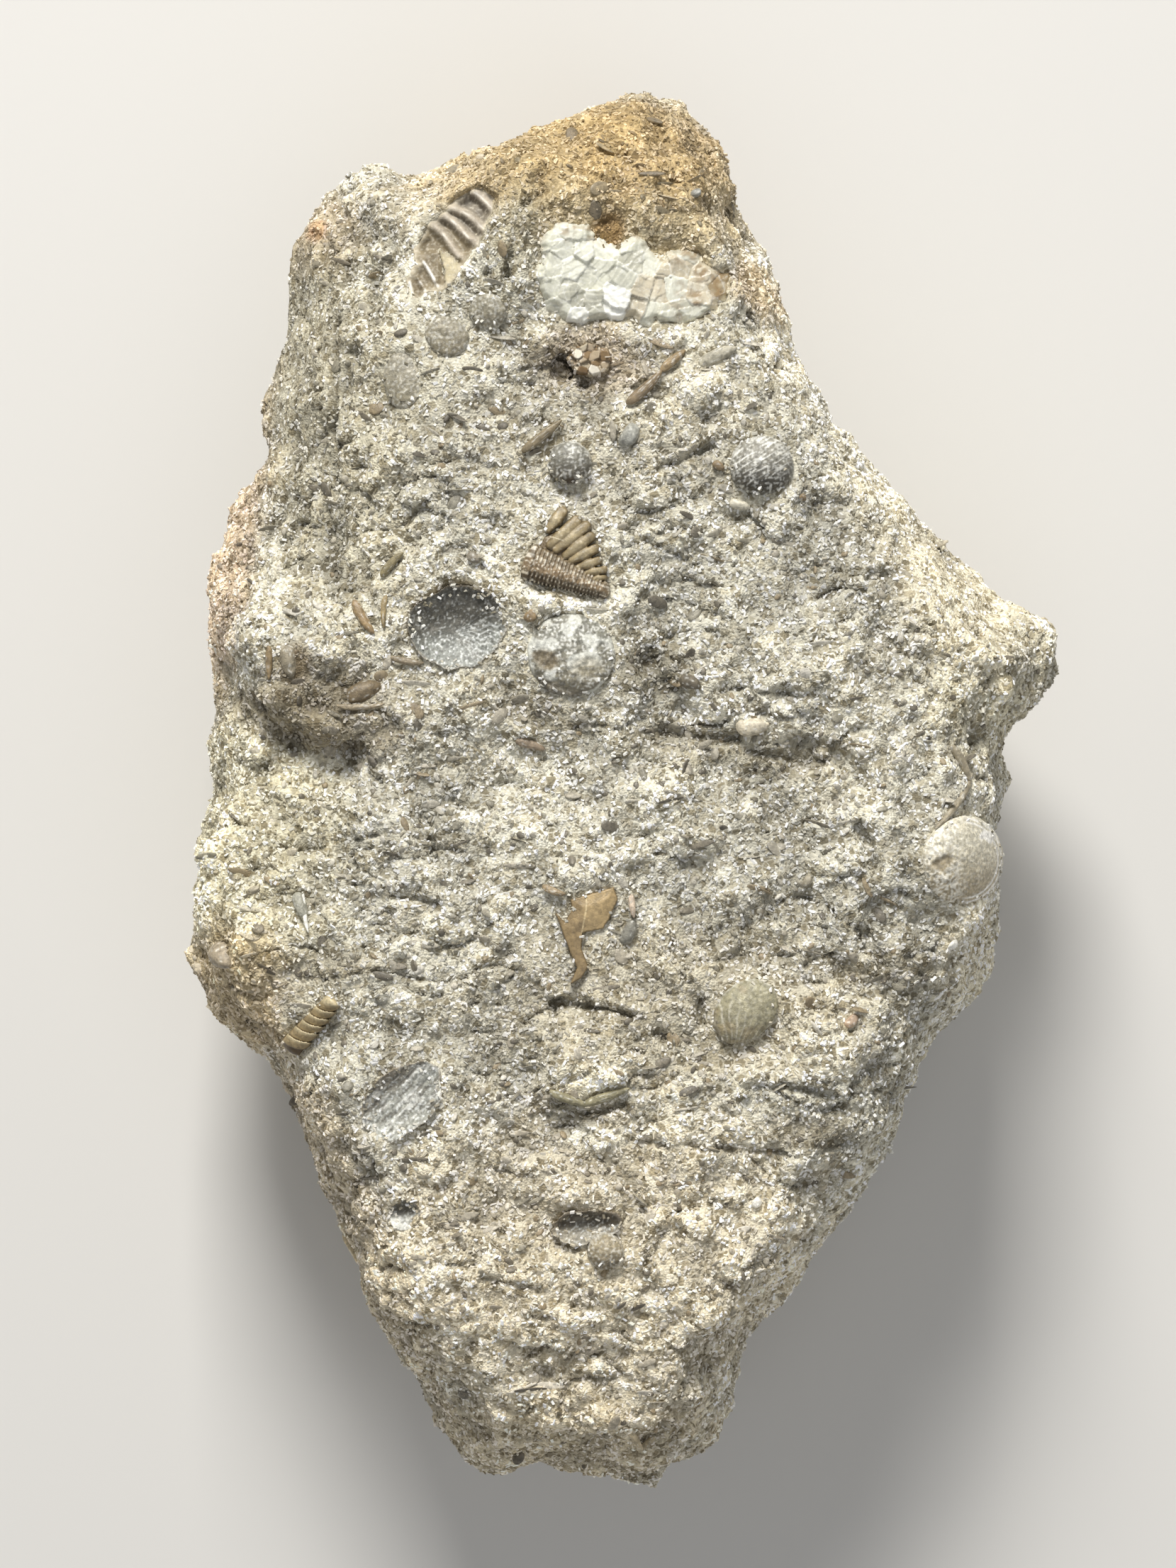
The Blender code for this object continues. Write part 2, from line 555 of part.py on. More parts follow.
def crystal_cluster(name, at, points, blocks, depth, finish, seed):
    """Blocky crystals grown together on one root, trimmed to an outline and set in a socket."""
    placing = lie_on_face(at[0], at[1], 0.0, 2.0)
    root = object_from(name, prism(points, -depth, -0.1), finish)
    for number, (x, y, size, rise) in enumerate(blocks):
        block = bmesh.new()
        bmesh.ops.create_cube(block, size=size)
        spin = seed + number * 2.4
        turn = Matrix.Rotation(spin, 4, "Z") @ Matrix.Rotation(0.35 + 0.3 * math.sin(spin * 3.0), 4, "X")
        skew = Matrix.Shear("XY", 4, (0.18, 0.12))
        bmesh.ops.transform(block, matrix=Matrix.Translation((x, y, rise)) @ turn @ skew,
                            verts=block.verts)
        grown = object_from("%s_crystal_%d" % (name, number + 1), block, finish)
        grown.hide_render = True
        grown.display_type = "WIRE"
        boolean = root.modifiers.new("crystal", "BOOLEAN")
        boolean.operation = "UNION"
        boolean.solver = "EXACT"
        boolean.object = grown
    fence = object_from(name + "_fence", prism(points, -depth, 4.0), finish)
    fence.hide_render = True
    fence.display_type = "WIRE"
    boolean = root.modifiers.new("fence", "BOOLEAN")
    boolean.operation = "INTERSECT"
    boolean.solver = "EXACT"
    boolean.object = fence
    metres = placing.copy()
    metres.translation = placing.translation * MM
    bpy.context.view_layer.update()
    joined = bpy.data.meshes.new_from_object(
        root.evaluated_get(bpy.context.evaluated_depsgraph_get()))
    joined.transform(metres)
    root.modifiers.clear()
    root.data = outer_skin(joined)
    for helper in [item for item in bpy.data.objects if item.name.startswith(name + "_")]:
        bpy.data.objects.remove(helper, do_unlink=True)
    socket = prism(widened(points, GAP * 1.1), -depth - GAP, 6.0)
    bmesh.ops.transform(socket, matrix=placing, verts=socket.verts)
    cut_out(name + "_socket", socket)
    return root


# White calcite in the upper part of the face: outline about its middle, and each crystal's place,
# size and height.
CALCITE_OUTLINE = [
    (-5.3, 1.1), (-5.0, 2.3), (-3.2, 2.9), (-1.4, 2.4), (0.2, 2.9), (1.6, 2.0), (3.4, 2.3),
    (5.0, 1.0), (5.6, -0.6), (4.2, -1.6), (2.2, -1.9), (0.4, -2.9), (-1.4, -2.7), (-2.4, -1.9),
    (-3.6, -2.6), (-5.3, -3.0), (-5.5, -1.0),
]
CALCITE_BLOCKS = (
    (-4.3, 1.5, 1.9, 0.0), (-2.9, 1.9, 1.9, 0.2), (-1.2, 1.5, 1.8, 0.1), (0.4, 1.7, 1.9, 0.0),
    (-4.2, 0.0, 1.8, 0.1), (-2.6, 0.2, 2.1, 0.35), (-1.0, -0.1, 1.7, 0.2), (0.5, 0.1, 2.0, 0.3),
    (1.9, 1.1, 1.8, 0.1), (3.3, 1.1, 1.6, -0.1), (2.0, -0.6, 1.7, 0.1), (3.6, -0.4, 1.7, 0.0),
    (4.7, 0.0, 1.4, -0.2), (-0.4, -1.7, 1.7, 0.1), (-3.9, -1.7, 1.7, -0.1), (0.9, -1.6, 1.4, 0.0),
    (-2.3, -1.1, 1.4, 0.0),
)
crystal_cluster("calcite_crystals", (0.0, 30.0), CALCITE_OUTLINE, CALCITE_BLOCKS, 1.3, CALCITE, 0.4)

# Small rusty crystals beside the dark pit under the calcite.
VUG_OUTLINE = [
    (-1.2, 0.2), (-0.8, 1.0), (0.2, 1.2), (1.1, 0.8), (1.3, -0.2), (0.8, -1.0), (-0.2, -1.2),
    (-1.0, -0.8),
]
VUG_BLOCKS = (
    (-0.5, 0.4, 0.9, 0.0), (0.4, 0.6, 0.9, 0.1), (0.7, -0.2, 0.9, 0.0), (0.0, -0.5, 1.0, 0.15),
    (-0.7, -0.3, 0.8, -0.05),
)
crystal_cluster("vug_crystals", (-1.9, 25.3), VUG_OUTLINE, VUG_BLOCKS, 0.9, RUSTY, 1.3)

# Rounded shells: name, place, radii, turn in degrees and the height of the middle over the ground.
SHELLS = (
    ("shell_ball", (-3.4, 18.9), (1.2, 1.2, 1.1), 0.0, 0.1),
    ("shell_large", (7.8, 19.0), (2.0, 1.7, 1.5), 10.0, -0.3),
    ("shell_coiled", (-3.3, 8.0), (2.4, 2.2, 1.5), -20.0, -0.6),
    ("shell_oval", (7.0, -12.9), (1.9, 1.5, 1.1), 25.0, -0.3),
    ("shell_edge", (20.4, -4.1), (1.9, 2.4, 1.3), 15.0, -0.5),
    ("shell_round", (-1.3, -27.0), (1.0, 1.0, 0.9), 0.0, 0.1),
    ("shell_bump", (-8.2, 28.0), (1.0, 1.0, 0.8), 0.0, 0.0),
    ("shell_patch", (-10.6, 26.6), (1.3, 1.2, 0.8), 30.0, -0.2),
    ("shell_ridge", (-13.3, 24.1), (0.95, 1.7, 1.0), 8.0, -0.2),
)
for name, at, radii, turn, rise in SHELLS:
    inlaid_ball(name, at, radii, turn, rise, SHELL)

# Slivers of shell and spines lying in the face: name, the two ends, half the width and the finish.
SLIVERS = (
    ("spine_upper", (0.0, 22.7), (1.9, 24.5), 0.30, TRILOBITE),
    ("spine_upper_lens", (4.2, 24.9), (6.3, 25.9), 0.42, SHELL),
    ("spine_middle", (-6.1, 19.9), (-3.95, 21.6), 0.26, TRILOBITE),
    ("spine_left", (-16.0, 11.1), (-14.9, 9.3), 0.30, TRILOBITE),
    ("shell_crescent", (-16.3, 5.2), (-14.6, 6.4), 0.60, SHELL),
)
for name, start, end, half_width, finish in SLIVERS:
    line = Vector(end) - Vector(start)
    middle = (Vector(start) + Vector(end)) / 2.0
    angle = math.degrees(math.atan2(line.y, line.x))
    inlaid_ball(name, middle, (line.length / 2.0, half_width, 0.5), angle, 0.05, finish)
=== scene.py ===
import math

import bmesh
import bpy
import numpy as np
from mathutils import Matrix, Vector, noise
from mathutils.bvhtree import BVHTree


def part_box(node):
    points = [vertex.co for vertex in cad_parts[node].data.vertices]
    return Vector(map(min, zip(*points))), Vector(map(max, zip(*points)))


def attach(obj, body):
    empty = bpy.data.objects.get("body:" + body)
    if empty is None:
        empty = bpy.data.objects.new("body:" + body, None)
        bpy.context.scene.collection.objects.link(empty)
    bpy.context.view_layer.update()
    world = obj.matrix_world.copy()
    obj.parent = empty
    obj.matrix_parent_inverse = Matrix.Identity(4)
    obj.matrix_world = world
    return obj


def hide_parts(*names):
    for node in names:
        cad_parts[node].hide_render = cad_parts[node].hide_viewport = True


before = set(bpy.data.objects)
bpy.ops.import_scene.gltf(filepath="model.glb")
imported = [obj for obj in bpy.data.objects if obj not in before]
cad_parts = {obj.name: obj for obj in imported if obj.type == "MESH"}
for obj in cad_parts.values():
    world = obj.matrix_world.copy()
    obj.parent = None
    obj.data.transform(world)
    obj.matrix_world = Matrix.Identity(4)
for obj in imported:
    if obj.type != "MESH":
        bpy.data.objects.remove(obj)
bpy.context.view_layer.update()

# The trilobite's tail shield: brown calcified shell, with a ringed axis along its lower edge and eight
# ribs that fan out over it. It lies in the stone's face, so it is modelled as a fine relief that
# follows that face, drawn in millimetres as seen from above.
MM = 0.001
FRONT_FROM = 11.0 * MM
FLAT = (1.0, 1.0, 0.0)
TAIL_CELL = 0.045
TAIL_BOX = ((-6.6, 10.9), (-0.8, 16.9))
TAIL_BASE = 0.16
RIB_HEIGHT = 0.36
TAIL_RIBS = (
    ((-4.65, 15.26), (-3.86, 16.32), 0.40), ((-4.53, 14.36), (-3.02, 15.76), 0.40),
    ((-4.18, 14.10), (-2.46, 15.46), 0.37), ((-3.63, 13.76), (-2.21, 14.84), 0.37),
    ((-3.29, 13.46), (-1.91, 14.15), 0.34), ((-2.86, 13.08), (-1.74, 13.45), 0.31),
    ((-2.39, 12.76), (-1.38, 12.94), 0.27), ((-2.01, 12.42), (-1.38, 12.48), 0.22),
)
TAIL_SHEET = [
    (-4.9, 14.9), (-4.3, 15.2), (-3.2, 15.5), (-2.6, 15.1), (-2.35, 14.5), (-2.1, 13.8), (-1.9, 13.2),
    (-1.6, 12.8), (-1.5, 12.3), (-2.6, 12.4), (-4.0, 13.2), (-5.2, 14.3),
]
AXIS_LINE = ((-5.70, 13.10), (-1.55, 11.72))
AXIS_UP = (1.38, 0.62)
AXIS_DOWN = (0.88, 0.52)
AXIS_HEIGHT = 0.54
AXIS_RINGS = 20
RING_HEIGHT = 0.07
HAIRLINE = ((-4.57, 14.87), (-3.76, 14.62))


def fresh_object(name, mesh):
    """An object for a mesh, linked to the scene."""
    item = bpy.data.objects.new(name, mesh)
    bpy.context.scene.collection.objects.link(item)
    return item


def mesh_from(name, bm):
    """A mesh from a finished bmesh."""
    mesh = bpy.data.meshes.new(name)
    bm.to_mesh(mesh)
    bm.free()
    return mesh


def points_of(mesh):
    """A mesh's vertex places as an array."""
    flat = np.empty(len(mesh.vertices) * 3, dtype=np.float32)
    mesh.vertices.foreach_get("co", flat)
    return flat.reshape(-1, 3).astype(float)


def noise_at(points, size_mm, seed):
    """Smooth noise from -1 to 1 with the given grain, at every point."""
    shift = Vector((seed, seed * 0.7, -seed))
    scaled = points / (size_mm * MM)
    return np.array([noise.noise(Vector(point) + shift) for point in scaled])


def soft(value, low=0.0, high=1.0):
    """A smooth step from low to high."""
    value = np.clip((value - low) / (high - low), 0.0, 1.0)
    return value * value * (3.0 - 2.0 * value)


def along_line(points, start, end):
    """For each point seen from above: how far along a line it is, and how far off it, in millimetres."""
    start, end = np.array(start), np.array(end)
    from_start = points[:, :2] / MM - start
    line = end - start
    along = np.clip(from_start @ line / (line @ line), 0.0, 1.0)
    return along, np.linalg.norm(from_start - along[:, None] * line, axis=1)


def outline_depth(points, outline):
    """How far inside an outline each point is, seen from above, in millimetres."""
    x, y = points[:, 0] / MM, points[:, 1] / MM
    near = np.full(len(points), 1e9)
    inside = np.zeros(len(points), dtype=bool)
    for start, end in zip(outline, outline[1:] + outline[:1]):
        near = np.minimum(near, along_line(points, start, end)[1])
        crosses = (start[1] > y) != (end[1] > y)
        rise = (end[1] - start[1]) or 1e-9
        inside ^= crosses & (x < start[0] + (y - start[1]) * (end[0] - start[0]) / rise)
    return np.where(inside, near, -near)


def dome(share):
    """The height of a round back, 1 in the middle and 0 where the share across it reaches 1."""
    return np.sqrt(np.clip(1.0 - share * share, 0.0, 1.0))


cad_stone = bmesh.new()
cad_stone.from_mesh(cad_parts["limestone_matrix"].data)
bmesh.ops.remove_doubles(cad_stone, verts=cad_stone.verts, dist=1e-6)
stone_tree = BVHTree.FromBMesh(cad_stone)


LOOK_FROM = 0.06


def ground(x, y):
    """The height of the CAD stone's face at x, y, all in metres."""
    hit = stone_tree.ray_cast(Vector((x, y, LOOK_FROM)), Vector((0.0, 0.0, -1.0)))[0]
    return hit.z if hit else None


def face_terms(x, y):
    """The terms of a gently curved sheet at x, y."""
    return np.stack([np.ones_like(x), x, y, x * x, x * y, y * y], axis=-1)


# The sheet under a piece is fitted to the ground on rings round it, leaving out what drops away.
# Under a piece with a half width from CURVED_FROM up it may also curve. All in millimetres.
SHEET_RINGS = (1.12, 1.3, 1.55)
SHEET_STEPS = 28
SHEET_DROP = 4.0
CURVED_FROM = 2.6


def face_under(low, high):
    """The stone's face under a piece, as a curved sheet fitted to the ground round it."""
    middle = (np.array(low) + np.array(high)) / 2.0
    half = (np.array(high) - np.array(low)) / 2.0
    places, heights = [], []
    for ring in SHEET_RINGS:
        for step in range(SHEET_STEPS):
            angle = math.tau * step / SHEET_STEPS
            reach = (half + 0.35) * ring * (math.cos(angle), math.sin(angle))
            z = ground(*((middle + reach) * MM))
            if z is not None and z > FRONT_FROM:
                places.append(reach)
                heights.append(z / MM)
    above = np.array(heights) > np.median(heights) - SHEET_DROP
    heights = np.array(heights)[above]
    x, y = np.array(places)[above].T
    keep = [0, 1, 2] if max(half) < CURVED_FROM else [0, 1, 2, 3, 4, 5]
    fit = np.linalg.lstsq(face_terms(x, y)[:, keep], heights, rcond=None)[0]
    return lambda x, y: face_terms(x - middle[0], y - middle[1])[..., keep] @ fit


def linear(colour):
    """An sRGB hex colour as linear red, green and blue."""
    values = [int(colour[i:i + 2], 16) / 255 for i in (1, 3, 5)]
    return [v / 12.92 if v <= 0.04045 else ((v + 0.055) / 1.055) ** 2.4 for v in values]


def all_one(count, colour):
    """The same colour for every vertex."""
    return np.tile(np.array(linear(colour)), (count, 1))


def mixed(colours, share, colour):
    """Colours with a share of another colour laid over them."""
    share = np.clip(share, 0.0, 1.0)[:, None]
    return colours * (1.0 - share) + np.array(linear(colour)) * share


def keep_colours(mesh, name, colours):
    """Store one colour for each vertex under a name that a material can read."""
    layer = mesh.color_attributes.new(name, "FLOAT_COLOR", "POINT")
    rgba = np.ones((len(colours), 4), dtype=np.float32)
    rgba[:, :3] = colours
    layer.data.foreach_set("color", rgba.ravel())


# Every laid piece: its box, its shape, the sheet under it and its dust.
laid = []
WALL_DEPTH = 1.2


def relief_piece(name, box, cell, shape, paint, finish, dust=(0.1, 0.2)):
    """A piece lying in the stone's face: a fine sheet with walls and a bottom, trimmed to its shape.

    shape gives, for points in metres, how far inside the piece's border each one is and how high the
    piece stands over the stone's face there, in millimetres. paint gives the colours of those points.
    dust is the share of the stone's grains that lie on it, and how far in from its border they reach.
    """
    low, high = np.array(box[0]), np.array(box[1])
    under = face_under(low, high)
    bm = bmesh.new()
    segments = np.maximum(((high - low) / cell).astype(int), 4)
    bmesh.ops.create_grid(bm, x_segments=int(segments[0]), y_segments=int(segments[1]), size=0.5)
    size, middle = (high - low) * MM, (high + low) / 2.0 * MM
    for vert in bm.verts:
        vert.co = (vert.co.x * size[0] + middle[0], vert.co.y * size[1] + middle[1], 0.0)
    points = np.array([vert.co[:] for vert in bm.verts])
    edge, height = shape(points)
    sheet = under(points[:, 0] / MM, points[:, 1] / MM) + height
    for vert, z in zip(bm.verts, sheet):
        vert.co.z = z * MM
    outside = [vert for vert, inside in zip(bm.verts, edge) if inside < 0.0]
    bmesh.ops.delete(bm, geom=outside, context="VERTS")
    loose = [vert for vert in bm.verts if not vert.link_faces]
    bmesh.ops.delete(bm, geom=loose, context="VERTS")
    rim = [item for item in bm.edges if item.is_boundary]
    grown = bmesh.ops.extrude_edge_only(bm, edges=rim)["geom"]
    for vert in [item for item in grown if isinstance(item, bmesh.types.BMVert)]:
        vert.co.z -= WALL_DEPTH * MM
    bottom = [item for item in grown if isinstance(item, bmesh.types.BMEdge)]
    bmesh.ops.edgeloop_fill(bm, edges=bottom)
    bmesh.ops.recalc_face_normals(bm, faces=bm.faces)
    mesh = mesh_from(name, bm)
    points = points_of(mesh) * FLAT
    edge, height = shape(points)
    keep_colours(mesh, "tint", paint(points, edge, height))
    mesh.shade_smooth()
    mesh.materials.append(finish)
    laid.append((low, high, shape, under, dust))
    piece = fresh_object(name, mesh)
    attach(piece, "root")
    return piece


def add(tree, kind, inputs=(), **settings):
    """Add a node to a tree, with its settings and its inputs: each a value or another node's output."""
    made = tree.nodes.new(kind)
    for key, value in settings.items():
        setattr(made, key, value)
    for key, value in dict(inputs).items():
        socket = made.inputs[key]
        if isinstance(value, bpy.types.NodeSocket):
            tree.links.new(value, socket)
        else:
            socket.default_value = value
    return made


def per_metre(size_mm):
    """A texture scale that repeats about once in the given size."""
    return 1.0 / (size_mm * MM)


# Calcite powder on the fossils, in millimetres, and the middle of calcite's two indices.
POWDER_MM = 0.16
CALCITE_IOR = 1.55


def fossil_finish(name, roughness, mottle_mm, mottle, bump_mm, bump_height, sugar=0.0):
    """A worn fossil surface: its own tint, mottled and dusted with fine calcite, over an uneven skin."""
    finish = bpy.data.materials.new(name)
    finish.use_nodes = True
    tree = finish.node_tree
    shader = tree.nodes["Principled BSDF"]
    place = add(tree, "ShaderNodeTexCoord").outputs["Object"]
    tint = add(tree, "ShaderNodeAttribute", attribute_name="tint").outputs["Color"]
    cloud = add(tree, "ShaderNodeTexNoise", {"Vector": place, "Scale": per_metre(mottle_mm), "Detail": 6.0})
    light = add(tree, "ShaderNodeMapRange", {
        "Value": cloud.outputs["Fac"], "From Min": 0.25, "From Max": 0.75,
        "To Min": 1.0 - mottle, "To Max": 1.0 + mottle})
    dust = add(tree, "ShaderNodeTexVoronoi", {"Vector": place, "Scale": per_metre(POWDER_MM)})
    dusted = add(tree, "ShaderNodeMapRange", {
        "Value": add(tree, "ShaderNodeSeparateColor", {"Color": dust.outputs["Color"]}).outputs["Red"],
        "To Min": 1.0 - sugar, "To Max": 1.0 + sugar})
    light = add(tree, "ShaderNodeMath", {0: light.outputs["Result"], 1: dusted.outputs["Result"]},
                operation="MULTIPLY")
    shaded = add(tree, "ShaderNodeVectorMath", {0: tint, "Scale": light.outputs[0]}, operation="SCALE")
    tree.links.new(shaded.outputs[0], shader.inputs["Base Color"])
    gloss = add(tree, "ShaderNodeMapRange", {
        "Value": cloud.outputs["Fac"], "To Min": roughness + 0.12, "To Max": roughness - 0.12})
    tree.links.new(gloss.outputs["Result"], shader.inputs["Roughness"])
    skin = add(tree, "ShaderNodeTexNoise", {"Vector": place, "Scale": per_metre(bump_mm), "Detail": 4.0})
    bump = add(tree, "ShaderNodeBump", {
        "Height": skin.outputs["Fac"], "Strength": 0.8, "Distance": bump_height * MM})
    tree.links.new(bump.outputs["Normal"], shader.inputs["Normal"])
    shader.inputs["IOR"].default_value = CALCITE_IOR
    return finish


def flecks(points, size_mm, seed, rarity):
    """Small irregular flecks, 1 on a fleck and 0 between them."""
    return soft(noise_at(points, size_mm, seed), rarity, rarity + 0.12)


def axis_place(points):
    """Where points are on the tail's axis: across it, how far out, half its width, and its rings."""
    start, end = np.array(AXIS_LINE[0]), np.array(AXIS_LINE[1])
    line = end - start
    length = np.linalg.norm(line)
    offset = points[:, :2] / MM - start
    along = offset @ line / length ** 2
    across = (offset[:, 1] * line[0] - offset[:, 0] * line[1]) / length
    held = np.clip(along, 0.0, 1.0)
    up = AXIS_UP[0] + (AXIS_UP[1] - AXIS_UP[0]) * held
    down = AXIS_DOWN[0] + (AXIS_DOWN[1] - AXIS_DOWN[0]) * held
    half = np.where(across > 0.0, up, down)
    beyond = np.maximum(0.0, np.maximum(-along, along - 1.0)) * length
    share = np.hypot(across / half, beyond / 0.5)
    ring = np.cos(math.tau * AXIS_RINGS * (0.85 * held + 0.15 * held * held))
    return across / half, share, half, ring


def rib_place(points):
    """The nearest rib's share across and its height, for every point, and how far inside it that is."""
    inside = np.full(len(points), -9.0)
    height = np.zeros(len(points))
    for start, end, half in TAIL_RIBS:
        along, off = along_line(points, start, end)
        wide = half * (0.66 + 0.34 * soft(along, 0.0, 0.5))
        back = RIB_HEIGHT * dome(off / wide) ** 0.8 * (0.7 + 0.3 * np.sin(math.pi * along))
        height = np.maximum(height, back)
        inside = np.maximum(inside, wide - off)
    return inside, height


def tail_shape(points):
    """The tail's border and relief."""
    across, share, half, ring = axis_place(points)
    rib_inside, rib_height = rib_place(points)
    axis_inside = (1.0 - share) * half
    back = AXIS_HEIGHT * dome(share) * (1.0 - 0.2 * soft(share, 0.0, 1.0))
    back += RING_HEIGHT * ring * (0.35 + 0.65 * soft(np.abs(across), 0.15, 0.5)) * (axis_inside > 0.0)
    back += 0.05 * noise_at(points, 0.22, 19.0) * soft(axis_inside, 0.0, 0.1)
    edge = np.maximum(np.maximum(rib_inside, axis_inside + 0.05 * ring), outline_depth(points, TAIL_SHEET))
    height = TAIL_BASE + np.maximum(back, rib_height)
    return edge + 0.02, height - 0.5 * (1.0 - soft(edge, -0.02, 0.12))


def tail_paint(points, edge, height):
    """Tan crests and brown grooves, painted highlight and painted shade that follow the ribs' height, pale
    dashes on the rings, and the axis darkened towards its lower side and toothed lower edge as painted shade.
    """
    across, share, half, ring = axis_place(points)
    rib_inside, rib_height = rib_place(points)
    on_axis = soft((1.0 - share) * half, -0.03, 0.06) * (rib_inside < 0.03)
    colours = all_one(len(points), "#6b5b41")
    # Painted highlight and shade: the ribs are paler the higher they stand, lit on the crests and shaded in
    # the grooves.
    colours = mixed(colours, soft(rib_height, 0.06, 0.24), "#8c7c5b")
    colours = mixed(colours, 0.8 * soft(rib_height, 0.24, 0.36), "#ab9c7a")
    mottled = noise_at(points, 0.5, 71.0)
    rings = all_one(len(points), "#776850")
    rings = mixed(rings, soft(0.34 - np.abs(across - 0.1), 0.0, 0.2), "#826f54")
    rows = np.maximum(soft(0.13 - np.abs(across - 0.45), 0.0, 0.06),
                      soft(0.12 - np.abs(across - 0.8), 0.0, 0.06))
    worn = soft(noise_at(points, 0.3, 87.0), -0.45, 0.15)
    rings = mixed(rings, 0.9 * rows * worn * soft(ring, -0.3, 0.4), "#d9d1bf")
    powder = 0.8 * flecks(points, 0.13, 53.0, 0.22) * soft(0.6 - np.abs(across), 0.0, 0.2)
    rings = mixed(rings, powder, "#d9d1bf")
    low_row = soft(0.1 - np.abs(across + 0.5), 0.0, 0.04) * soft(ring, 0.3, 0.6)
    # Painted shade: the axis darkens towards its lower side, which faces away from the light.
    rings = mixed(rings, soft(-across, 0.1, 0.5), "#544631")
    rings = mixed(rings, 0.8 * low_row, "#d8cdb6")
    # Painted shade: darkest along the lower edge, broken into teeth by the pale dots that follow.
    rings = mixed(rings, soft(-across, 0.72, 0.86), "#3a2e20")
    rings = mixed(rings, 0.9 * soft(-across, 0.8, 0.9) * soft(ring, 0.2, 0.6), "#cfc6b2")
    colours = colours * (1.0 - on_axis[:, None]) + rings * on_axis[:, None]
    _, off = along_line(points, *HAIRLINE)
    colours = mixed(colours, soft(0.035 - off, 0.0, 0.02), "#d8ccae")
    colours = mixed(colours, 0.4 * soft(noise_at(points, 0.2, 41.0), 0.2, 0.5), "#c9bfa8")
    return colours * (1.0 + 0.28 * mottled)[:, None]


# Calcified trilobite shell: brown and faintly glossy. The tail's paler crests are painted highlight.
trilobite_shell = fossil_finish("calcified trilobite shell", 0.46, 0.4, 0.25, 0.1, 0.03, 0.2)
tail = relief_piece("trilobite_tail_relief", TAIL_BOX, TAIL_CELL, tail_shape, tail_paint, trilobite_shell)
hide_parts("trilobite_tail")

# A row of body segments of a trilobite at the left edge: the same brown shell, six curved bars that
# overlap like roof tiles and get shorter towards the upper right.
ROW_LINE = ((-19.75, -15.10), (-17.35, -12.45))
ROW_BOX = ((-20.6, -16.0), (-16.6, -11.7))
ROW_WIDE = (0.78, 0.56)
ROW_STEPS = (0.0, 0.17, 0.36, 0.52, 0.68, 0.84, 1.0)


def row_place(points):
    """Where points are in the row of segments: the share along one bar, and the share across the row."""
    start, end = np.array(ROW_LINE[0]), np.array(ROW_LINE[1])
    line = end - start
    length = np.linalg.norm(line)
    offset = points[:, :2] / MM - start
    along = offset @ line / length ** 2
    across = (offset[:, 1] * line[0] - offset[:, 0] * line[1]) / length
    half = ROW_WIDE[0] + (ROW_WIDE[1] - ROW_WIDE[0]) * np.clip(along, 0.0, 1.0)
    share = across / half
    bent = along - 0.05 * share * share + 0.09 * share
    step = np.clip(np.searchsorted(ROW_STEPS, bent) - 1, 0, len(ROW_STEPS) - 2)
    steps = np.array(ROW_STEPS)
    part = np.clip((bent - steps[step]) / (steps[step + 1] - steps[step]), 0.0, 1.0)
    beyond = np.maximum(0.0, np.maximum(-along, along - 1.0)) * length
    return part, share, half, beyond


def row_shape(points):
    """The row's border and relief."""
    part, share, half, beyond = row_place(points)
    reach = np.hypot(share, beyond / 0.35)
    edge = (1.0 - reach) * half - 0.13 * (1.0 - soft(part, 0.0, 0.4)) * soft(-share, 0.0, 0.7)
    height = 0.10 + 0.5 * dome(reach) + 0.16 * part - 0.1 * (1.0 - soft(part, 0.0, 0.12))
    return edge + 0.02, height - 0.5 * (1.0 - soft(edge, -0.02, 0.12))


def row_paint(points, edge, height):
    """Olive brown bars with dark joints, and paler upper edges that are painted highlight."""
    part, share, _, _ = row_place(points)
    colours = all_one(len(points), "#a08e69")
    colours = mixed(colours, 0.5 + 0.5 * noise_at(points, 0.7, 5.0), "#8a7856")
    # Painted highlight along each bar's upper edge.
    colours = mixed(colours, soft(part, 0.55, 0.97), "#c6b792")
    colours = mixed(colours, 1.0 - soft(part, 0.0, 0.16), "#57462e")
    colours = mixed(colours, 0.5 * soft(-share, 0.5, 1.0), "#6a583c")
    return colours


row = relief_piece("trilobite_segments_relief", ROW_BOX, 0.04, row_shape, row_paint, trilobite_shell)
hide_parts("trilobite_segments")

# The trilobite's cheek: one thin smooth plate of the same shell, golden on the right, darker in the
# strip that runs down its left side, with a pale seam between the two.
CHEEK_OUTLINE = [
    (-3.39, -6.32), (-2.41, -6.08), (-0.81, -5.59), (-0.56, -6.38), (-1.12, -7.55), (-1.42, -8.04),
    (-2.65, -8.31), (-2.67, -9.27), (-2.28, -10.31), (-2.75, -10.98), (-3.39, -11.33), (-2.99, -10.37),
    (-3.57, -9.02), (-4.00, -7.79), (-4.25, -7.12), (-3.69, -7.61), (-3.26, -6.93),
]
CHEEK_BOX = ((-4.5, -11.6), (-0.3, -5.3))
CHEEK_SEAM = ((-2.41, -6.08), (-2.44, -6.95), (-2.70, -8.31))


def cheek_shape(points):
    """The cheek's border and its slightly crowned face."""
    edge = outline_depth(points, CHEEK_OUTLINE) + 0.03 * noise_at(points, 0.5, 8.0)
    height = 0.12 + 0.16 * soft(edge, 0.0, 0.8) + 0.02 * noise_at(points, 0.9, 15.0)
    return edge + 0.02, height - 0.35 * (1.0 - soft(edge, -0.02, 0.06))


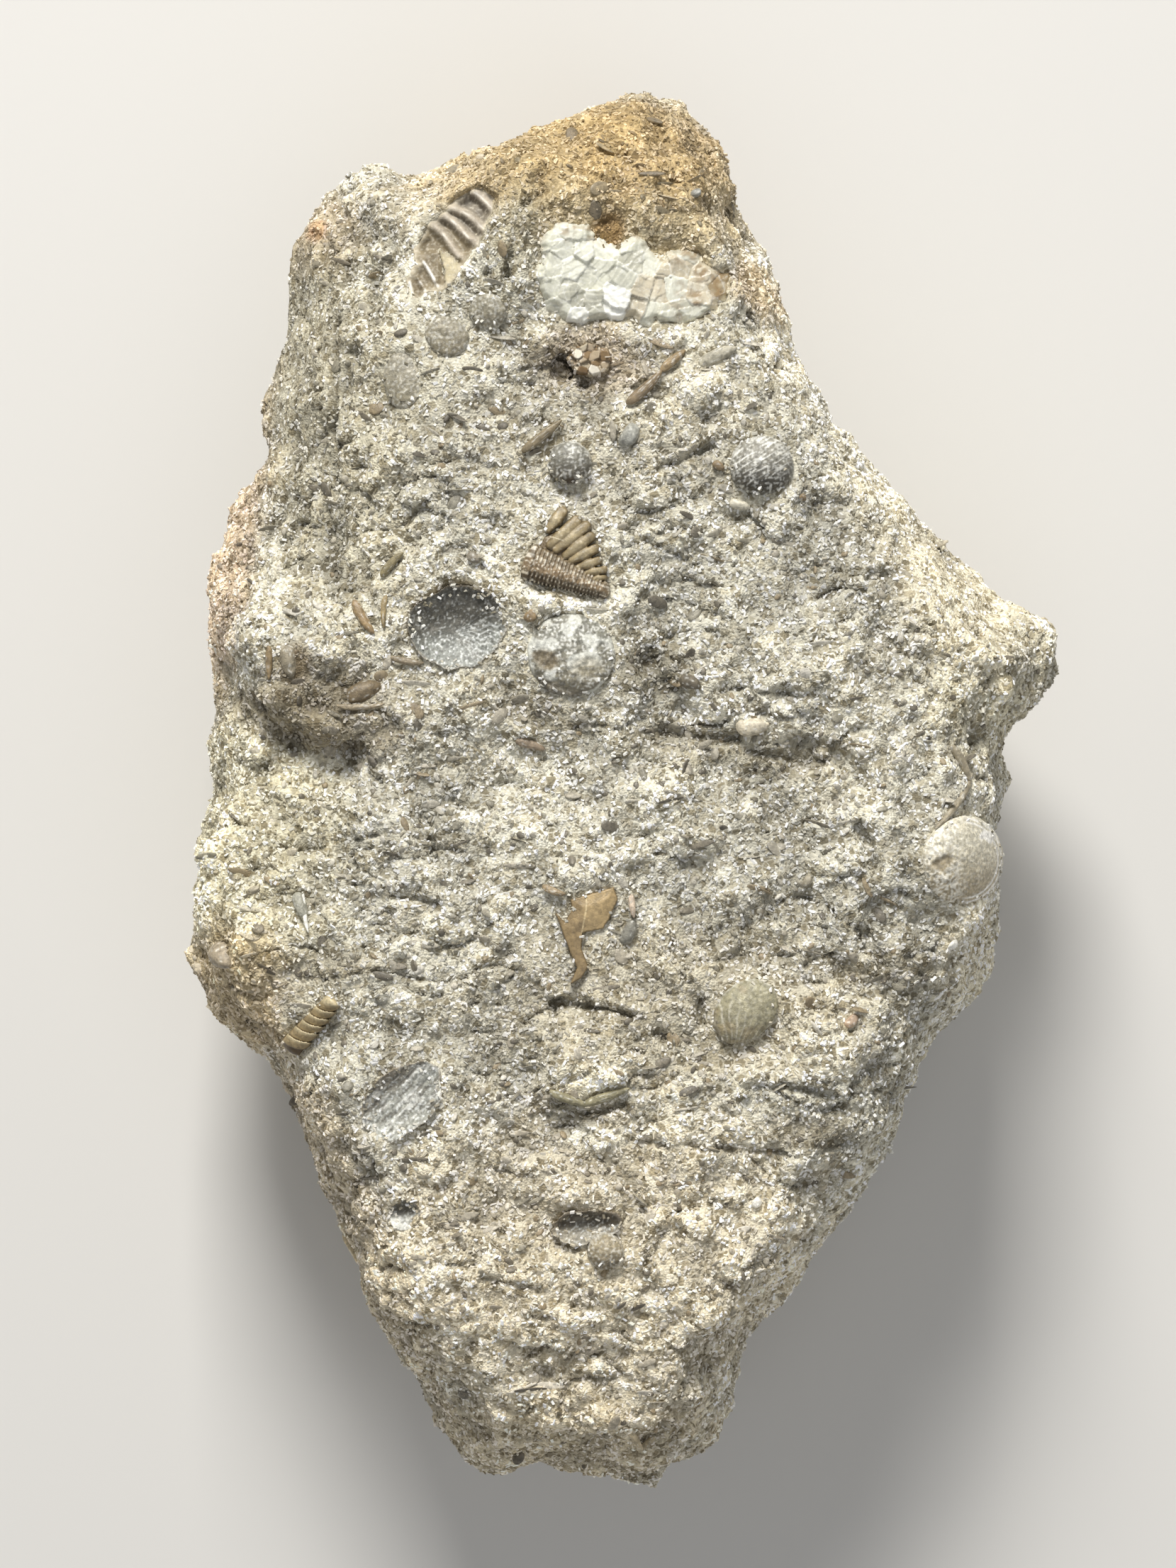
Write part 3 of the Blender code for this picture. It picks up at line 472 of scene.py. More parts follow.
def cheek_paint(points, edge, height):
    """Golden plate, darker strip, pale seam and a dark rim along its border."""
    left = np.clip((-2.5 - points[:, 0] / MM) * 4.0, 0.0, 1.0)
    left = np.maximum(left, soft(-8.2 - points[:, 1] / MM, 0.0, 0.3))
    colours = mixed(all_one(len(points), "#a99268"), left, "#8d7957")
    grain = 0.5 + 0.5 * noise_at(points, 0.35, 21.0)
    colours = mixed(colours, 0.45 * grain, "#a08a64")
    for start, end in zip(CHEEK_SEAM, CHEEK_SEAM[1:]):
        _, off = along_line(points, start, end)
        colours = mixed(colours, 0.8 * soft(0.06 - off, 0.0, 0.04), "#d9c498")
    return mixed(colours, 0.5 * (1.0 - soft(edge, 0.0, 0.12)), "#5d482c")


cheek = relief_piece("trilobite_cheek_relief", CHEEK_BOX, 0.05, cheek_shape, cheek_paint, trilobite_shell)
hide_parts("trilobite_cheek")

# The mould of another trilobite tail near the top edge: smooth lime mud pressed into a fan of
# grooves. Five deep ones run down to the right, and three narrow ones lie to the lower left.
MOULD_OUTLINE = [
    (-9.19, 35.57), (-8.43, 35.57), (-7.54, 34.88), (-7.75, 33.85), (-8.23, 32.75), (-8.64, 31.71),
    (-9.12, 31.16), (-9.67, 30.47), (-10.16, 29.78), (-10.64, 29.37), (-11.60, 29.16), (-12.29, 28.61),
    (-12.88, 29.09), (-13.02, 29.99), (-12.47, 30.95), (-12.64, 31.71), (-12.29, 32.61),
    (-11.67, 33.50), (-10.92, 34.12), (-10.23, 34.88),
]
MOULD_BOX = ((-13.2, 28.4), (-7.3, 35.8))
MOULD_RIDGES = (
    ((-9.05, 35.09), (-7.78, 34.05)), ((-10.50, 34.33), (-9.12, 33.57)), ((-9.12, 33.57), (-8.30, 32.88)),
    ((-10.78, 33.78), (-9.95, 33.02)), ((-9.95, 33.02), (-8.71, 31.99)),
    ((-11.60, 33.43), (-10.78, 32.47)), ((-10.78, 32.47), (-9.85, 31.37)),
)
MOULD_EDGES = (
    ((-11.98, 31.09), (-11.12, 29.58)), ((-12.36, 30.13), (-11.81, 29.16)),
    ((-12.81, 29.85), (-12.55, 28.75)),
)
RIDGE_BEND = 0.08
MOULD_WEDGE = [
    (-11.05, 31.71), (-10.23, 31.23), (-9.67, 30.54), (-10.23, 29.85), (-10.64, 29.44), (-10.71, 30.54),
]


def nearest_line(points, lines):
    """How far the nearest of some lines is from each point, seen from above."""
    return np.min([along_line(points, start, end)[1] for start, end in lines], axis=0)


def ridge_side(points):
    """How far off the nearest ridge each point is, in a slight S-bend: positive above it, negative below."""
    x, y = points[:, 0] / MM, points[:, 1] / MM
    bend = RIDGE_BEND * np.sin(2.2 * (0.75 * x - 0.66 * y) + 0.8)
    bent = points + np.stack([0.66 * bend, 0.75 * bend, 0.0 * bend], axis=1) * MM
    far = np.stack([along_line(bent, start, end)[1] for start, end in MOULD_RIDGES])
    bent_x, bent_y = bent[:, 0] / MM, bent[:, 1] / MM
    sides = np.stack([(end[0] - start[0]) * (bent_y - start[1]) - (end[1] - start[1]) * (bent_x - start[0])
                      for start, end in MOULD_RIDGES])
    nearest = np.argmin(far, axis=0)
    rows = np.arange(len(points))
    return far[nearest, rows] * np.sign(sides[nearest, rows])


def mould_shape(points):
    """The mould's border and its grooves."""
    edge = outline_depth(points, MOULD_OUTLINE) + 0.15 * noise_at(points, 0.5, 65.0)
    far = np.abs(ridge_side(points))
    groove = 0.5 - 0.5 * np.cos(np.clip((far - 0.04) / 0.46, 0.0, 1.0) * math.pi)
    small_far = nearest_line(points, MOULD_EDGES)
    small = np.sin(np.clip(small_far / 0.3, 0.0, 1.0) * math.pi / 2.0)
    lower_left = outline_depth(points, MOULD_WEDGE) > -0.05
    second = soft(-10.9 - points[:, 0] / MM, -0.1, 0.3) * soft(31.7 - points[:, 1] / MM, -0.2, 0.2)
    height = -0.22 - 0.62 * groove
    height = np.where(lower_left, -0.35 + 0.1 * noise_at(points, 0.8, 3.0), height)
    height = height * (1.0 - second) + (-0.22 - 0.3 * small) * second
    height *= 0.2 + 0.8 * soft(edge, 0.0, 0.8)
    height += 0.03 * noise_at(points, 0.3, 84.0)
    return edge + 0.02, height


def mould_paint(points, edge, height):
    """Dark taupe grooves with painted shade under each ridge, pale ridges with painted light on their upper
    side and white crest lines of painted highlight, and a cream wedge and rim.
    """
    off = ridge_side(points)
    ridge = np.abs(off)
    crest = nearest_line(points, MOULD_EDGES)
    colours = all_one(len(points), "#80786a")
    # Painted shade: a dark band just below each ridge, on the side turned from the light.
    colours = mixed(colours, 0.8 * soft(-off, 0.14, 0.28) * soft(off, -0.6, -0.4), "#5f5648")
    low_left = soft(33.2 - points[:, 1] / MM - 0.5 * (points[:, 0] / MM + 10.0), 0.0, 0.8)
    colours = mixed(colours, low_left, "#83775f")
    # Partly the ridges' paler tone, partly painted light: the pale band sits on each ridge's lit upper side.
    colours = mixed(colours, 0.8 * soft(0.36 - np.abs(off - 0.08), 0.0, 0.24), "#b9ae9c")
    # Painted highlight: white lines along the ridge crests.
    white = soft(0.07 - ridge, 0.0, 0.05) * soft(noise_at(points, 0.7, 9.0), 0.0, 0.25)
    colours = mixed(colours, 0.8 * white, "#ebe6da")
    # Painted highlight: white lines along the crests of the small ridges at the lower left.
    small_crest_highlight = soft(0.13 - crest, 0.0, 0.07) * soft(noise_at(points, 0.6, 19.0), -0.4, 0.0)
    colours = mixed(colours, small_crest_highlight, "#f4f0e6")
    colours = mixed(colours, soft(outline_depth(points, MOULD_WEDGE), -0.12, 0.12), "#c9bd9c")
    colours = mixed(colours, 0.75 * (1.0 - soft(edge, 0.05, 0.5)), "#cbc0a6")
    colours = mixed(colours, 0.35 * flecks(points, 0.15, 73.0, 0.15), "#cfc8b6")
    return colours * (1.0 + 0.2 * noise_at(points, 0.4, 30.0))[:, None]


# Lime mud pressed against a shell: very fine, smooth and almost dull.
lime_mud = fossil_finish("smooth pressed lime mud", 0.55, 0.6, 0.2, 0.12, 0.04, 0.1)
mould = relief_piece("tail_mould", MOULD_BOX, 0.055, mould_shape, mould_paint, lime_mud, (0.12, 0.4))

# Round shells in the face: grey and taupe calcite, faintly glossy, with the round back standing out of
# the stone. Each row gives how far its middle lies from the CAD shell's, its radii and turn, how far
# the round form lies over the face, its height, its upper tone of painted light and lower tone of painted
# shade, and how dusty it is.
SHELL_ROWS = {
    "shell_ball": ((0.0, 0.3), (1.3, 1.3), 0.0, 0.1, 0.95, "#88867b", "#625c4e", 0.6),
    "shell_large": ((0.0, 0.05), (1.9, 1.75), 10.0, -0.15, 1.4, "#918e82", "#3a362c", 0.6),
    "shell_coiled": ((0.0, 0.0), (2.6, 2.5), -20.0, -0.05, 0.9, "#818074", "#8a8471", 0.75),
    "shell_oval": ((-0.1, 0.0), (2.15, 1.65), 42.0, -0.05, 0.9, "#9b9579", "#8f886e", 0.12),
    "shell_edge": ((-0.2, 0.1), (2.6, 2.65), 0.0, -0.35, 1.3, "#d9d2bb", "#b0a284", 0.3),
    "shell_round": ((0.0, 0.0), (1.08, 1.08), 0.0, 0.1, 0.9, "#a3977c", "#766b54", 0.5),
    "shell_bump": ((0.0, 0.0), (1.12, 1.08), 0.0, 0.1, 0.5, "#908a77", "#867f6b", 0.4),
    "shell_patch": ((0.0, 0.0), (1.4, 1.15), -30.0, 0.05, 0.4, "#8c8571", "#837b66", 0.35),
    "shell_ridge": ((0.0, 0.0), (1.15, 1.85), 8.0, 0.0, 0.5, "#989280", "#8b846f", 0.35),
}
SHELL_CELL = 0.05
SHELL_WHITE = "#ecebe2"
OVAL_STRIAE = 26.0
COIL_EYE = (-1.5, -0.25)
COIL_EYE_RADII = (0.9, 0.68)
EDGE_PIT = (18.5, -4.1)
EDGE_PIT_RADII = (0.75, 0.55)
BALL_PIT = (0.07, -1.08)
BALL_PIT_RADII = (0.36, 0.2)
EDGE_GLINT = (21.2, -2.7)


def ellipse_place(points, middle, radii, turn):
    """Where points are in a turned ellipse: the two shares across it, and how far out they reach."""
    spin = math.radians(turn)
    x, y = points[:, 0] / MM - middle[0], points[:, 1] / MM - middle[1]
    across = (x * math.cos(spin) + y * math.sin(spin)) / radii[0]
    up = (y * math.cos(spin) - x * math.sin(spin)) / radii[1]
    return across, up, np.hypot(across, up)


def streaks(points, turn, long_mm, fine_mm, seed):
    """Noise from -1 to 1 drawn out into streaks that run at an angle."""
    spin = math.radians(turn)
    along = points[:, 0] * math.cos(spin) + points[:, 1] * math.sin(spin)
    across = points[:, 1] * math.cos(spin) - points[:, 0] * math.sin(spin)
    return noise_at(np.stack([along * fine_mm / long_mm, across, points[:, 2]], axis=1), fine_mm, seed)


def coil_eye(points, middle):
    """How far out points are from the sunk eye of the coiled shell, with a ragged border."""
    place = (middle[0] + COIL_EYE[0], middle[1] + COIL_EYE[1])
    return ellipse_place(points, place, COIL_EYE_RADII, -25.0)[2] + 0.3 * noise_at(points, 0.7, 90.0)


def edge_pit(points):
    """How far out points are from the worn patch on the shell at the right edge."""
    return ellipse_place(points, EDGE_PIT, EDGE_PIT_RADII, 20.0)[2] + 0.8 * noise_at(points, 0.6, 81.0)


def ball_pit(points, middle):
    """How far out points are from the pit at the foot of the small ball."""
    place = (middle[0] + BALL_PIT[0], middle[1] + BALL_PIT[1])
    return ellipse_place(points, place, BALL_PIT_RADII, 0.0)[2]


def shell_shape(name, middle):
    """The border and relief of one round shell."""
    _, radii, turn, sunk, high, _, _, dusty = SHELL_ROWS[name]

    def shape(points):
        across, up, reach = ellipse_place(points, middle, radii, turn)
        edge = (1.0 - reach) * min(radii) + 0.1 * noise_at(points, 0.7, 12.0)
        height = sunk + high * dome(reach * 0.98) + 0.04 * noise_at(points, 0.9, 33.0)
        height += (0.02 + 0.05 * dusty) * noise_at(points, 0.24, 34.0)
        if name == "shell_coiled":
            eye = coil_eye(points, middle)
            height -= 0.16 * (1.0 - soft(eye, 0.4, 1.05))
            height -= 0.12 * soft(-up, 0.6, 0.75) * soft(0.92 + up, 0.0, 0.1)
            height += 0.1 * noise_at(points, 0.5, 51.0)
        if name == "shell_edge":
            pit = edge_pit(points)
            height -= 0.14 * (1.0 - soft(pit, 0.3, 1.2))
            height -= 0.05 * (1.0 - soft(np.abs(reach - 0.86), 0.0, 0.03)) * soft(across, -0.1, 0.2)
            height += 0.08 * noise_at(points, 0.4, 82.0) * soft(-across, -0.1, 0.3)
        if name == "shell_large":
            height += 0.03 * streaks(points, 32.0, 0.9, 0.13, 5.0)
        if name == "shell_ball":
            pit = ball_pit(points, middle)
            height -= 0.2 * (1.0 - soft(pit, 0.5, 1.0))
        if name == "shell_oval":
            height += 0.016 * np.cos(OVAL_STRIAE * np.arctan2(up + 1.15, across + 1.3))
        return edge + 0.02, height - 0.3 * (1.0 - soft(edge, -0.02, 0.1))

    return shape


def shell_paint(name, middle):
    """The colours of one round shell: lighter above and darker below as painted light and shade, dusted with
    fine white powder.
    """
    _, radii, turn, _, _, upper, lower, dusty = SHELL_ROWS[name]

    def paint(points, edge, height):
        across, up, reach = ellipse_place(points, middle, radii, turn)
        x, y = points[:, 0] / MM - middle[0], points[:, 1] / MM - middle[1]
        north = y / max(radii)
        grain = noise_at(points, 0.15, 14.0) + 0.5 * noise_at(points, 0.5, 15.0)
        # Painted light and shade: the upper tone above, the lower tone below.
        colours = mixed(all_one(len(points), lower), soft(north, -0.75, 0.45), upper)
        colours = mixed(colours, 0.85 * dusty * soft(grain, 0.0, 0.4), SHELL_WHITE)
        colours = mixed(colours, 0.6 * dusty * soft(-grain, 0.1, 0.5), "#6b6454")
        colours = mixed(colours, 0.6 * (1.0 - soft(edge, 0.0, 0.2)) * soft(grain, -0.5, 0.2), SHELL_WHITE)
        if name == "shell_coiled":
            worn = 0.85 * soft(noise_at(points, 0.9, 40.0) + 0.12 * up, 0.02, 0.2)
            colours = mixed(colours, worn, "#d6d6cb")
            amber = ellipse_place(points, (middle[0] + 0.9, middle[1] - 0.8), (1.2, 0.8), 10.0)[2]
            colours = mixed(colours, 0.6 * (1.0 - soft(amber, 0.5, 1.1)), "#9d957e")
            eye = coil_eye(points, middle)
            colours = mixed(colours, 0.85 * (1.0 - soft(eye, 0.65, 1.0)), "#766a52")
            low_right = soft(0.7 * (x - COIL_EYE[0]) - 0.7 * (y - COIL_EYE[1]), 0.0, 0.35)
            colours = mixed(colours, 0.8 * soft(0.16 - np.abs(eye - 1.15), 0.0, 0.15) * low_right
                            * soft(grain, -0.3, 0.2), "#f0efe8")
            # Painted shade: a dark band along the coiled shell's lower rim.
            colours = mixed(colours, 0.7 * soft(-up + 0.1 * grain, 0.62, 0.85), "#5a5242")
        if name == "shell_edge":
            colours = mixed(colours, soft(-across, -0.15, 0.35) * soft(grain, -0.25, 0.15), "#e9e4d4")
            lines = np.minimum(np.abs(reach - 0.93), np.abs(reach - 0.84))
            colours = mixed(colours, soft(0.03 - lines, 0.0, 0.02) * soft(across, -0.1, 0.2), "#f6f3ea")
            glint = ellipse_place(points, EDGE_GLINT, (0.6, 0.45), 0.0)[2] + 0.5 * noise_at(points, 0.4, 80.0)
            colours = mixed(colours, 1.0 - soft(glint, 0.7, 0.9), "#f4f1e8")
            pit = edge_pit(points)
            colours = mixed(colours, 0.8 * (1.0 - soft(pit, 0.5, 1.3)), "#8a7b5c")
        if name == "shell_large":
            colours = mixed(colours, 0.75 * soft(streaks(points, 32.0, 0.9, 0.13, 5.0), 0.1, 0.4)
                            * soft(north, -0.7, 0.2), SHELL_WHITE)
        if name == "shell_ball":
            pit = ball_pit(points, middle)
            # Painted shade in the pit at the ball's foot.
            colours = mixed(colours, 0.9 * (1.0 - soft(pit, 0.6, 1.2)), "#4b3e2c")
        if name == "shell_oval":
            fan = OVAL_STRIAE * 1.7 * np.arctan2(up + 1.15, across + 1.3)
            rays = np.cos(fan + 2.0 * noise_at(points, 0.8, 3.0))
            colours = mixed(colours, 0.45 * soft(rays, 0.5, 0.95) * soft(-across, -0.3, 0.6), "#dfdac8")
            brown = 0.5 * soft(noise_at(points, 0.9, 23.0) - 0.4 * across, 0.1, 0.5)
            colours = mixed(colours, brown, "#8f7f5e")
        return colours * (1.0 + 0.12 * noise_at(points, 0.6, 24.0))[:, None]

    return paint


# Shell calcite: fine-grained, slightly translucent and faintly glossy where it is worn smooth.
shell_calcite = fossil_finish("smooth shell calcite", 0.5, 0.3, 0.25, 0.09, 0.04, 0.25)
for name, row_values in SHELL_ROWS.items():
    node_low, node_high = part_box(name)
    middle = ((node_low[0] + node_high[0]) / 2 / MM + row_values[0][0],
              (node_low[1] + node_high[1]) / 2 / MM + row_values[0][1])
    reach = max(row_values[1]) * 1.06
    box = ((middle[0] - reach, middle[1] - reach), (middle[0] + reach, middle[1] + reach))
    shell = relief_piece(
        name + "_back", box, SHELL_CELL, shell_shape(name, middle), shell_paint(name, middle),
        shell_calcite, (0.1 + 0.45 * row_values[7], 0.7))
    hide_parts(name)

# Hollows that other shells left behind, each still lined with its thin grey inner skin: smooth and
# concave, darkest under the upper rim as painted shade, paler lower down as painted light, with broken white
# flakes lower down.
# Each row: name, middle, radii, turn, depth, the direction of the side in painted shade, the painted shaded
# and lit tones, and the kind of white marks.
LININGS = (
    ("lining_middle", (-10.0, 9.6), (2.85, 2.45), 10.0, 1.05, 100.0, "#4c493f", "#868880", "radial"),
    ("lining_left", (-13.2, -18.1), (2.75, 1.85), 45.0, 0.7, 135.0, "#6f6757", "#a9a99e", "streaked"),
    ("lining_small", (-13.1, -24.85), (0.95, 0.85), 20.0, 0.6, 90.0, "#4f4a3f", "#cfcec4", "flaked"),
    ("lining_low", (-2.6, -25.6), (2.1, 0.95), 8.0, 0.75, 90.0, "#453d2f", "#a39c8a", "radial"),
)


def lining_shape(middle, radii, turn, deep, kind):
    """The border and the concave face of a shell's lining."""
    def shape(points):
        reach = ellipse_place(points, middle, radii, turn)[2]
        edge = (1.0 - reach) * min(radii) + 0.3 * noise_at(points, 1.2, 17.0)
        edge = edge + 0.08 * noise_at(points, 0.3, 18.0)
        bowl = deep * (1.0 - np.clip(reach, 0.0, 1.0) ** 2.2)
        rough = 0.05 * noise_at(points, 0.6, 6.0) + 0.04 * noise_at(points, 0.22, 7.0)
        if kind == "streaked":
            rough += 0.09 * streaks(points, turn, 1.6, 0.3, 8.0)
        return edge + 0.02, -0.1 - bowl + rough
    return shape


def lining_paint(middle, radii, turn, shade_from, shaded_tone, pale, kind):
    """Painted shade under the rim on the shaded side, painted light opposite, with flakes, streaks or fine
    rays of white, stronger on the lit side.
    """
    def paint(points, edge, height):
        x, y = points[:, 0] / MM - middle[0], points[:, 1] / MM - middle[1]
        shade = math.radians(shade_from)
        north = (x * math.cos(shade) + y * math.sin(shade)) / min(radii) + 0.25 * noise_at(points, 0.9, 49.0)
        grain = noise_at(points, 0.14, 56.0) + 0.4 * noise_at(points, 0.4, 57.0)
        edge_of_shade = 0.85 if kind == "streaked" else 0.3
        # Painted shade and light: the shaded tone towards the shaded side, the pale tone opposite.
        colours = mixed(all_one(len(points), shaded_tone), soft(edge_of_shade - north, 0.0, 0.8), pale)
        # The white marks below are weighted towards the lit side, partly painted light.
        low = soft(0.15 + edge_of_shade - north, 0.0, 0.7)
        colours = mixed(colours, 0.45 * soft(noise_at(points, 0.8, 58.0), 0.0, 0.4), "#77746a")
        if kind == "radial":
            rays = np.cos(34.0 * np.arctan2(y + 0.3, x + 0.2) + 4.0 * noise_at(points, 0.6, 2.0))
            colours = mixed(colours, 0.5 * soft(rays, 0.4, 0.9) * soft(x, -0.4, 0.9) * low, "#dfe1dc")
        elif kind == "streaked":
            pale_streak = soft(streaks(points, turn, 1.5, 0.22, 8.0), 0.0, 0.35)
            colours = mixed(colours, 0.8 * pale_streak * (0.35 + 0.65 * low), "#dcdbd2")
            colours = mixed(colours, 0.6 * soft(-streaks(points, turn, 1.2, 0.25, 9.0), 0.15, 0.4), "#5c564a")
        else:
            colours = mixed(colours, 0.7 * flecks(points, 0.35, 29.0, 0.1) * low, "#e0dfd8")
        colours = mixed(colours, 0.62 * soft(grain, 0.14, 0.45) * (0.35 + 0.65 * low), "#eceee9")
        colours = mixed(colours, 0.5 * soft(-grain, 0.2, 0.5), "#57534a")
        return mixed(colours, 0.5 * (1.0 - soft(edge, 0.0, 0.16)), "#a8997f")
    return paint


for name, middle, radii, turn, deep, shade_from, shaded_tone, pale, kind in LININGS:
    reach = max(radii) + 0.15
    box = ((middle[0] - reach, middle[1] - reach), (middle[0] + reach, middle[1] + reach))
    lining = relief_piece(name, box, SHELL_CELL, lining_shape(middle, radii, turn, deep, kind),
                          lining_paint(middle, radii, turn, shade_from, shaded_tone, pale, kind), shell_calcite,
                          (0.6, 0.9))

# White calcite in the upper part of the face: milky crystals 1 to 2 mm across, broken off flush with
# the stone. Each one is a flat tilted face, with thin bright lines where two crystals meet.
CALCITE_OUTLINE = [
    (-5.49, 30.47), (-4.99, 31.70), (-5.08, 32.77), (-4.25, 33.18), (-3.02, 33.35), (-2.11, 33.18),
    (-1.86, 32.44), (-0.71, 31.90), (-0.21, 32.36), (0.94, 32.53), (1.43, 31.80), (2.09, 31.22),
    (2.59, 31.70), (3.41, 32.03), (4.48, 31.70), (5.06, 30.96), (6.04, 30.53), (6.04, 29.48),
    (5.52, 27.99), (4.48, 27.58), (3.25, 27.17), (1.76, 27.33), (0.77, 27.10), (0.11, 27.58),
    (-0.54, 27.25), (-1.37, 27.33), (-2.36, 27.33), (-3.02, 27.17), (-4.01, 27.48), (-4.9, 28.2),
    (-5.24, 29.64),
]
CALCITE_BOX = ((-5.8, 26.8), (6.4, 33.7))
CRYSTALS = (
    (-4.34, 29.48, "milk"), (-3.43, 29.15, "grey"), (-4.58, 30.71, "milk"), (-3.18, 30.47, "white"),
    (-3.76, 31.70, "white"), (-2.60, 31.70, "white"), (-1.37, 31.70, "white"), (-1.53, 30.55, "milk"),
    (-2.36, 29.81, "milk"), (-4.58, 32.36, "milk"), (-3.68, 32.77, "white"), (-2.60, 32.69, "milk"),
    (-2.19, 28.65, "grey"), (-2.85, 28.65, "grey"), (-0.71, 28.82, "spark"), (-1.12, 27.99, "spark"),
    (-2.93, 27.83, "spark"), (0.28, 31.95, "milk"), (0.44, 30.96, "grey"), (1.43, 30.96, "white"),
    (-0.21, 29.97, "milk"), (0.94, 29.48, "beige"), (1.85, 29.31, "beige"), (2.17, 30.55, "beige"),
    (3.00, 30.80, "beige"), (3.49, 31.62, "grey"), (2.67, 29.48, "white"), (3.00, 28.16, "milk"),
    (4.24, 29.15, "beige"), (4.24, 27.99, "milk"), (5.31, 29.48, "brown"), (5.88, 29.81, "brown"),
    (5.47, 28.65, "beige"), (1.35, 27.83, "milk"), (0.61, 28.16, "beige"), (2.26, 27.66, "milk"),
    (-1.53, 27.83, "grey"), (-3.84, 28.32, "milk"), (4.57, 30.30, "beige"), (-1.12, 32.86, "brown"),
)
CRYSTAL_TONES = {"milk": "#dcdbc9", "white": "#eae9d8", "grey": "#c4c2b0", "beige": "#d2c8b0",
                 "brown": "#af9d7c", "spark": "#f3f2e8"}
SPLINTER_COUNT = 170


def facets_at(points, seeds, tilt, step, seed):
    """Flat tilted facets round the given middles: which one a point is on, its height and its border."""
    rng = np.random.default_rng(seed)
    tilts = rng.uniform(-tilt, tilt, size=(len(seeds), 2))
    steps = rng.uniform(-step, step, size=len(seeds))
    weights = rng.uniform(-0.12, 0.12, size=len(seeds))
    offsets = points[:, None, :2] / MM - np.array(seeds)[None]
    far = np.einsum("nkd,nkd->nk", offsets, offsets) + weights
    order = np.argsort(far, axis=1)[:, :2]
    rows = np.arange(len(points))
    first, second = order[:, 0], order[:, 1]
    apart = np.linalg.norm(np.array(seeds)[first] - np.array(seeds)[second], axis=1)
    border = (far[rows, second] - far[rows, first]) / (2.0 * apart + 1e-6)
    own = offsets[rows, first]
    return first, steps[first] + np.einsum("nd,nd->n", own, tilts[first]), border, own


def calcite_splinters():
    """Middles of the small facets that break up the crystals' faces."""
    rng = np.random.default_rng(61)
    low, high = np.array(CALCITE_BOX[0]), np.array(CALCITE_BOX[1])
    return [tuple(spot) for spot in rng.uniform(low, high, size=(SPLINTER_COUNT, 2))]


SPLINTERS = calcite_splinters()


def wandered(points):
    """Points pushed about a little, so that the facets' borders bend and break."""
    drift_x = 0.2 * noise_at(points, 1.1, 44.0) + 0.03 * noise_at(points, 0.35, 45.0)
    drift_y = 0.2 * noise_at(points, 1.1, 46.0) + 0.03 * noise_at(points, 0.35, 47.0)
    return points + np.stack([drift_x, drift_y, 0.0 * drift_x], axis=1) * MM


def calcite_shape(points):
    """The border and the facets of the calcite."""
    bent = wandered(points)
    which, height, border, own = facets_at(bent, [row[:2] for row in CRYSTALS], 0.17, 0.1, 5)
    _, splinter, small_border, _ = facets_at(bent, SPLINTERS, 0.1, 0.02, 6)
    rough = np.array([row[2] == "spark" for row in CRYSTALS])[which]
    spin = which * 1.7
    cleavage = (own[:, 0] * np.cos(spin) + own[:, 1] * np.sin(spin)) / 0.42
    height = height + splinter + 0.04 * (cleavage - np.floor(cleavage))
    height = height + rough * 0.12 * noise_at(points, 0.28, 18.0)
    edge = outline_depth(points, CALCITE_OUTLINE) + 0.4 * noise_at(points, 0.9, 27.0)
    edge = edge + 0.1 * noise_at(points, 0.3, 28.0)
    height = 0.2 + height - 0.03 * (1.0 - soft(border, 0.0, 0.06))
    return edge, height - 0.6 * (1.0 - soft(edge, -0.02, 0.6))


def calcite_paint(points, edge, height):
    """Milky tones by crystal, clouded inside, with bright seams and rusty stains on the right."""
    bent = wandered(points)
    which, _, border, _ = facets_at(bent, [row[:2] for row in CRYSTALS], 0.17, 0.1, 5)
    small, _, small_border, _ = facets_at(bent, SPLINTERS, 0.1, 0.02, 6)
    tones = np.array([linear(CRYSTAL_TONES[row[2]]) for row in CRYSTALS])
    shades = np.random.default_rng(71).uniform(0.86, 1.08, size=len(SPLINTERS))
    colours = tones[which] * shades[small][:, None]
    cloud = noise_at(points, 0.9, 61.0) + 0.2 * noise_at(points, 0.3, 62.0)
    colours = mixed(colours, 0.45 * soft(cloud, 0.0, 0.6), "#e6e5d6")
    colours = mixed(colours, 0.2 * soft(-cloud, 0.1, 0.6), "#aaa99b")
    vein = np.abs(noise_at(points, 0.6, 83.0))
    colours = mixed(colours, 0.45 * soft(0.04 - vein, 0.0, 0.04), "#f6f6f0")
    broken = soft(noise_at(points, 0.8, 9.0), -0.2, 0.2)
    colours = mixed(colours, 0.5 * soft(0.045 - border, 0.0, 0.04) * broken, "#f8f8f2")
    colours = mixed(colours, 0.25 * soft(0.03 - small_border, 0.0, 0.03) * broken, "#f4f4ee")
    colours = mixed(colours, 0.25 * soft(0.03 - border, 0.0, 0.02) * (1.0 - broken), "#94907e")
    rust = soft(points[:, 0] / MM, 0.8, 4.2) * soft(noise_at(points, 1.1, 47.0), -0.15, 0.3)
    rust_above = soft(points[:, 1] / MM, 31.6, 33.0) * soft(noise_at(points, 0.8, 48.0), -0.1, 0.3)
    rust = np.maximum(rust, rust_above)
    rust = rust * soft(noise_at(points, 0.35, 49.0), -0.4, 0.2)
    colours = mixed(colours, 0.75 * rust, "#927750")
    colours = mixed(colours, 0.5 * flecks(points, 0.13, 64.0, 0.2) * (1.0 - soft(edge, 0.2, 0.7)), "#efece0")
    return mixed(colours, 0.5 * (1.0 - soft(edge, 0.0, 0.35)) * soft(cloud, -0.3, 0.2), "#a89c80")


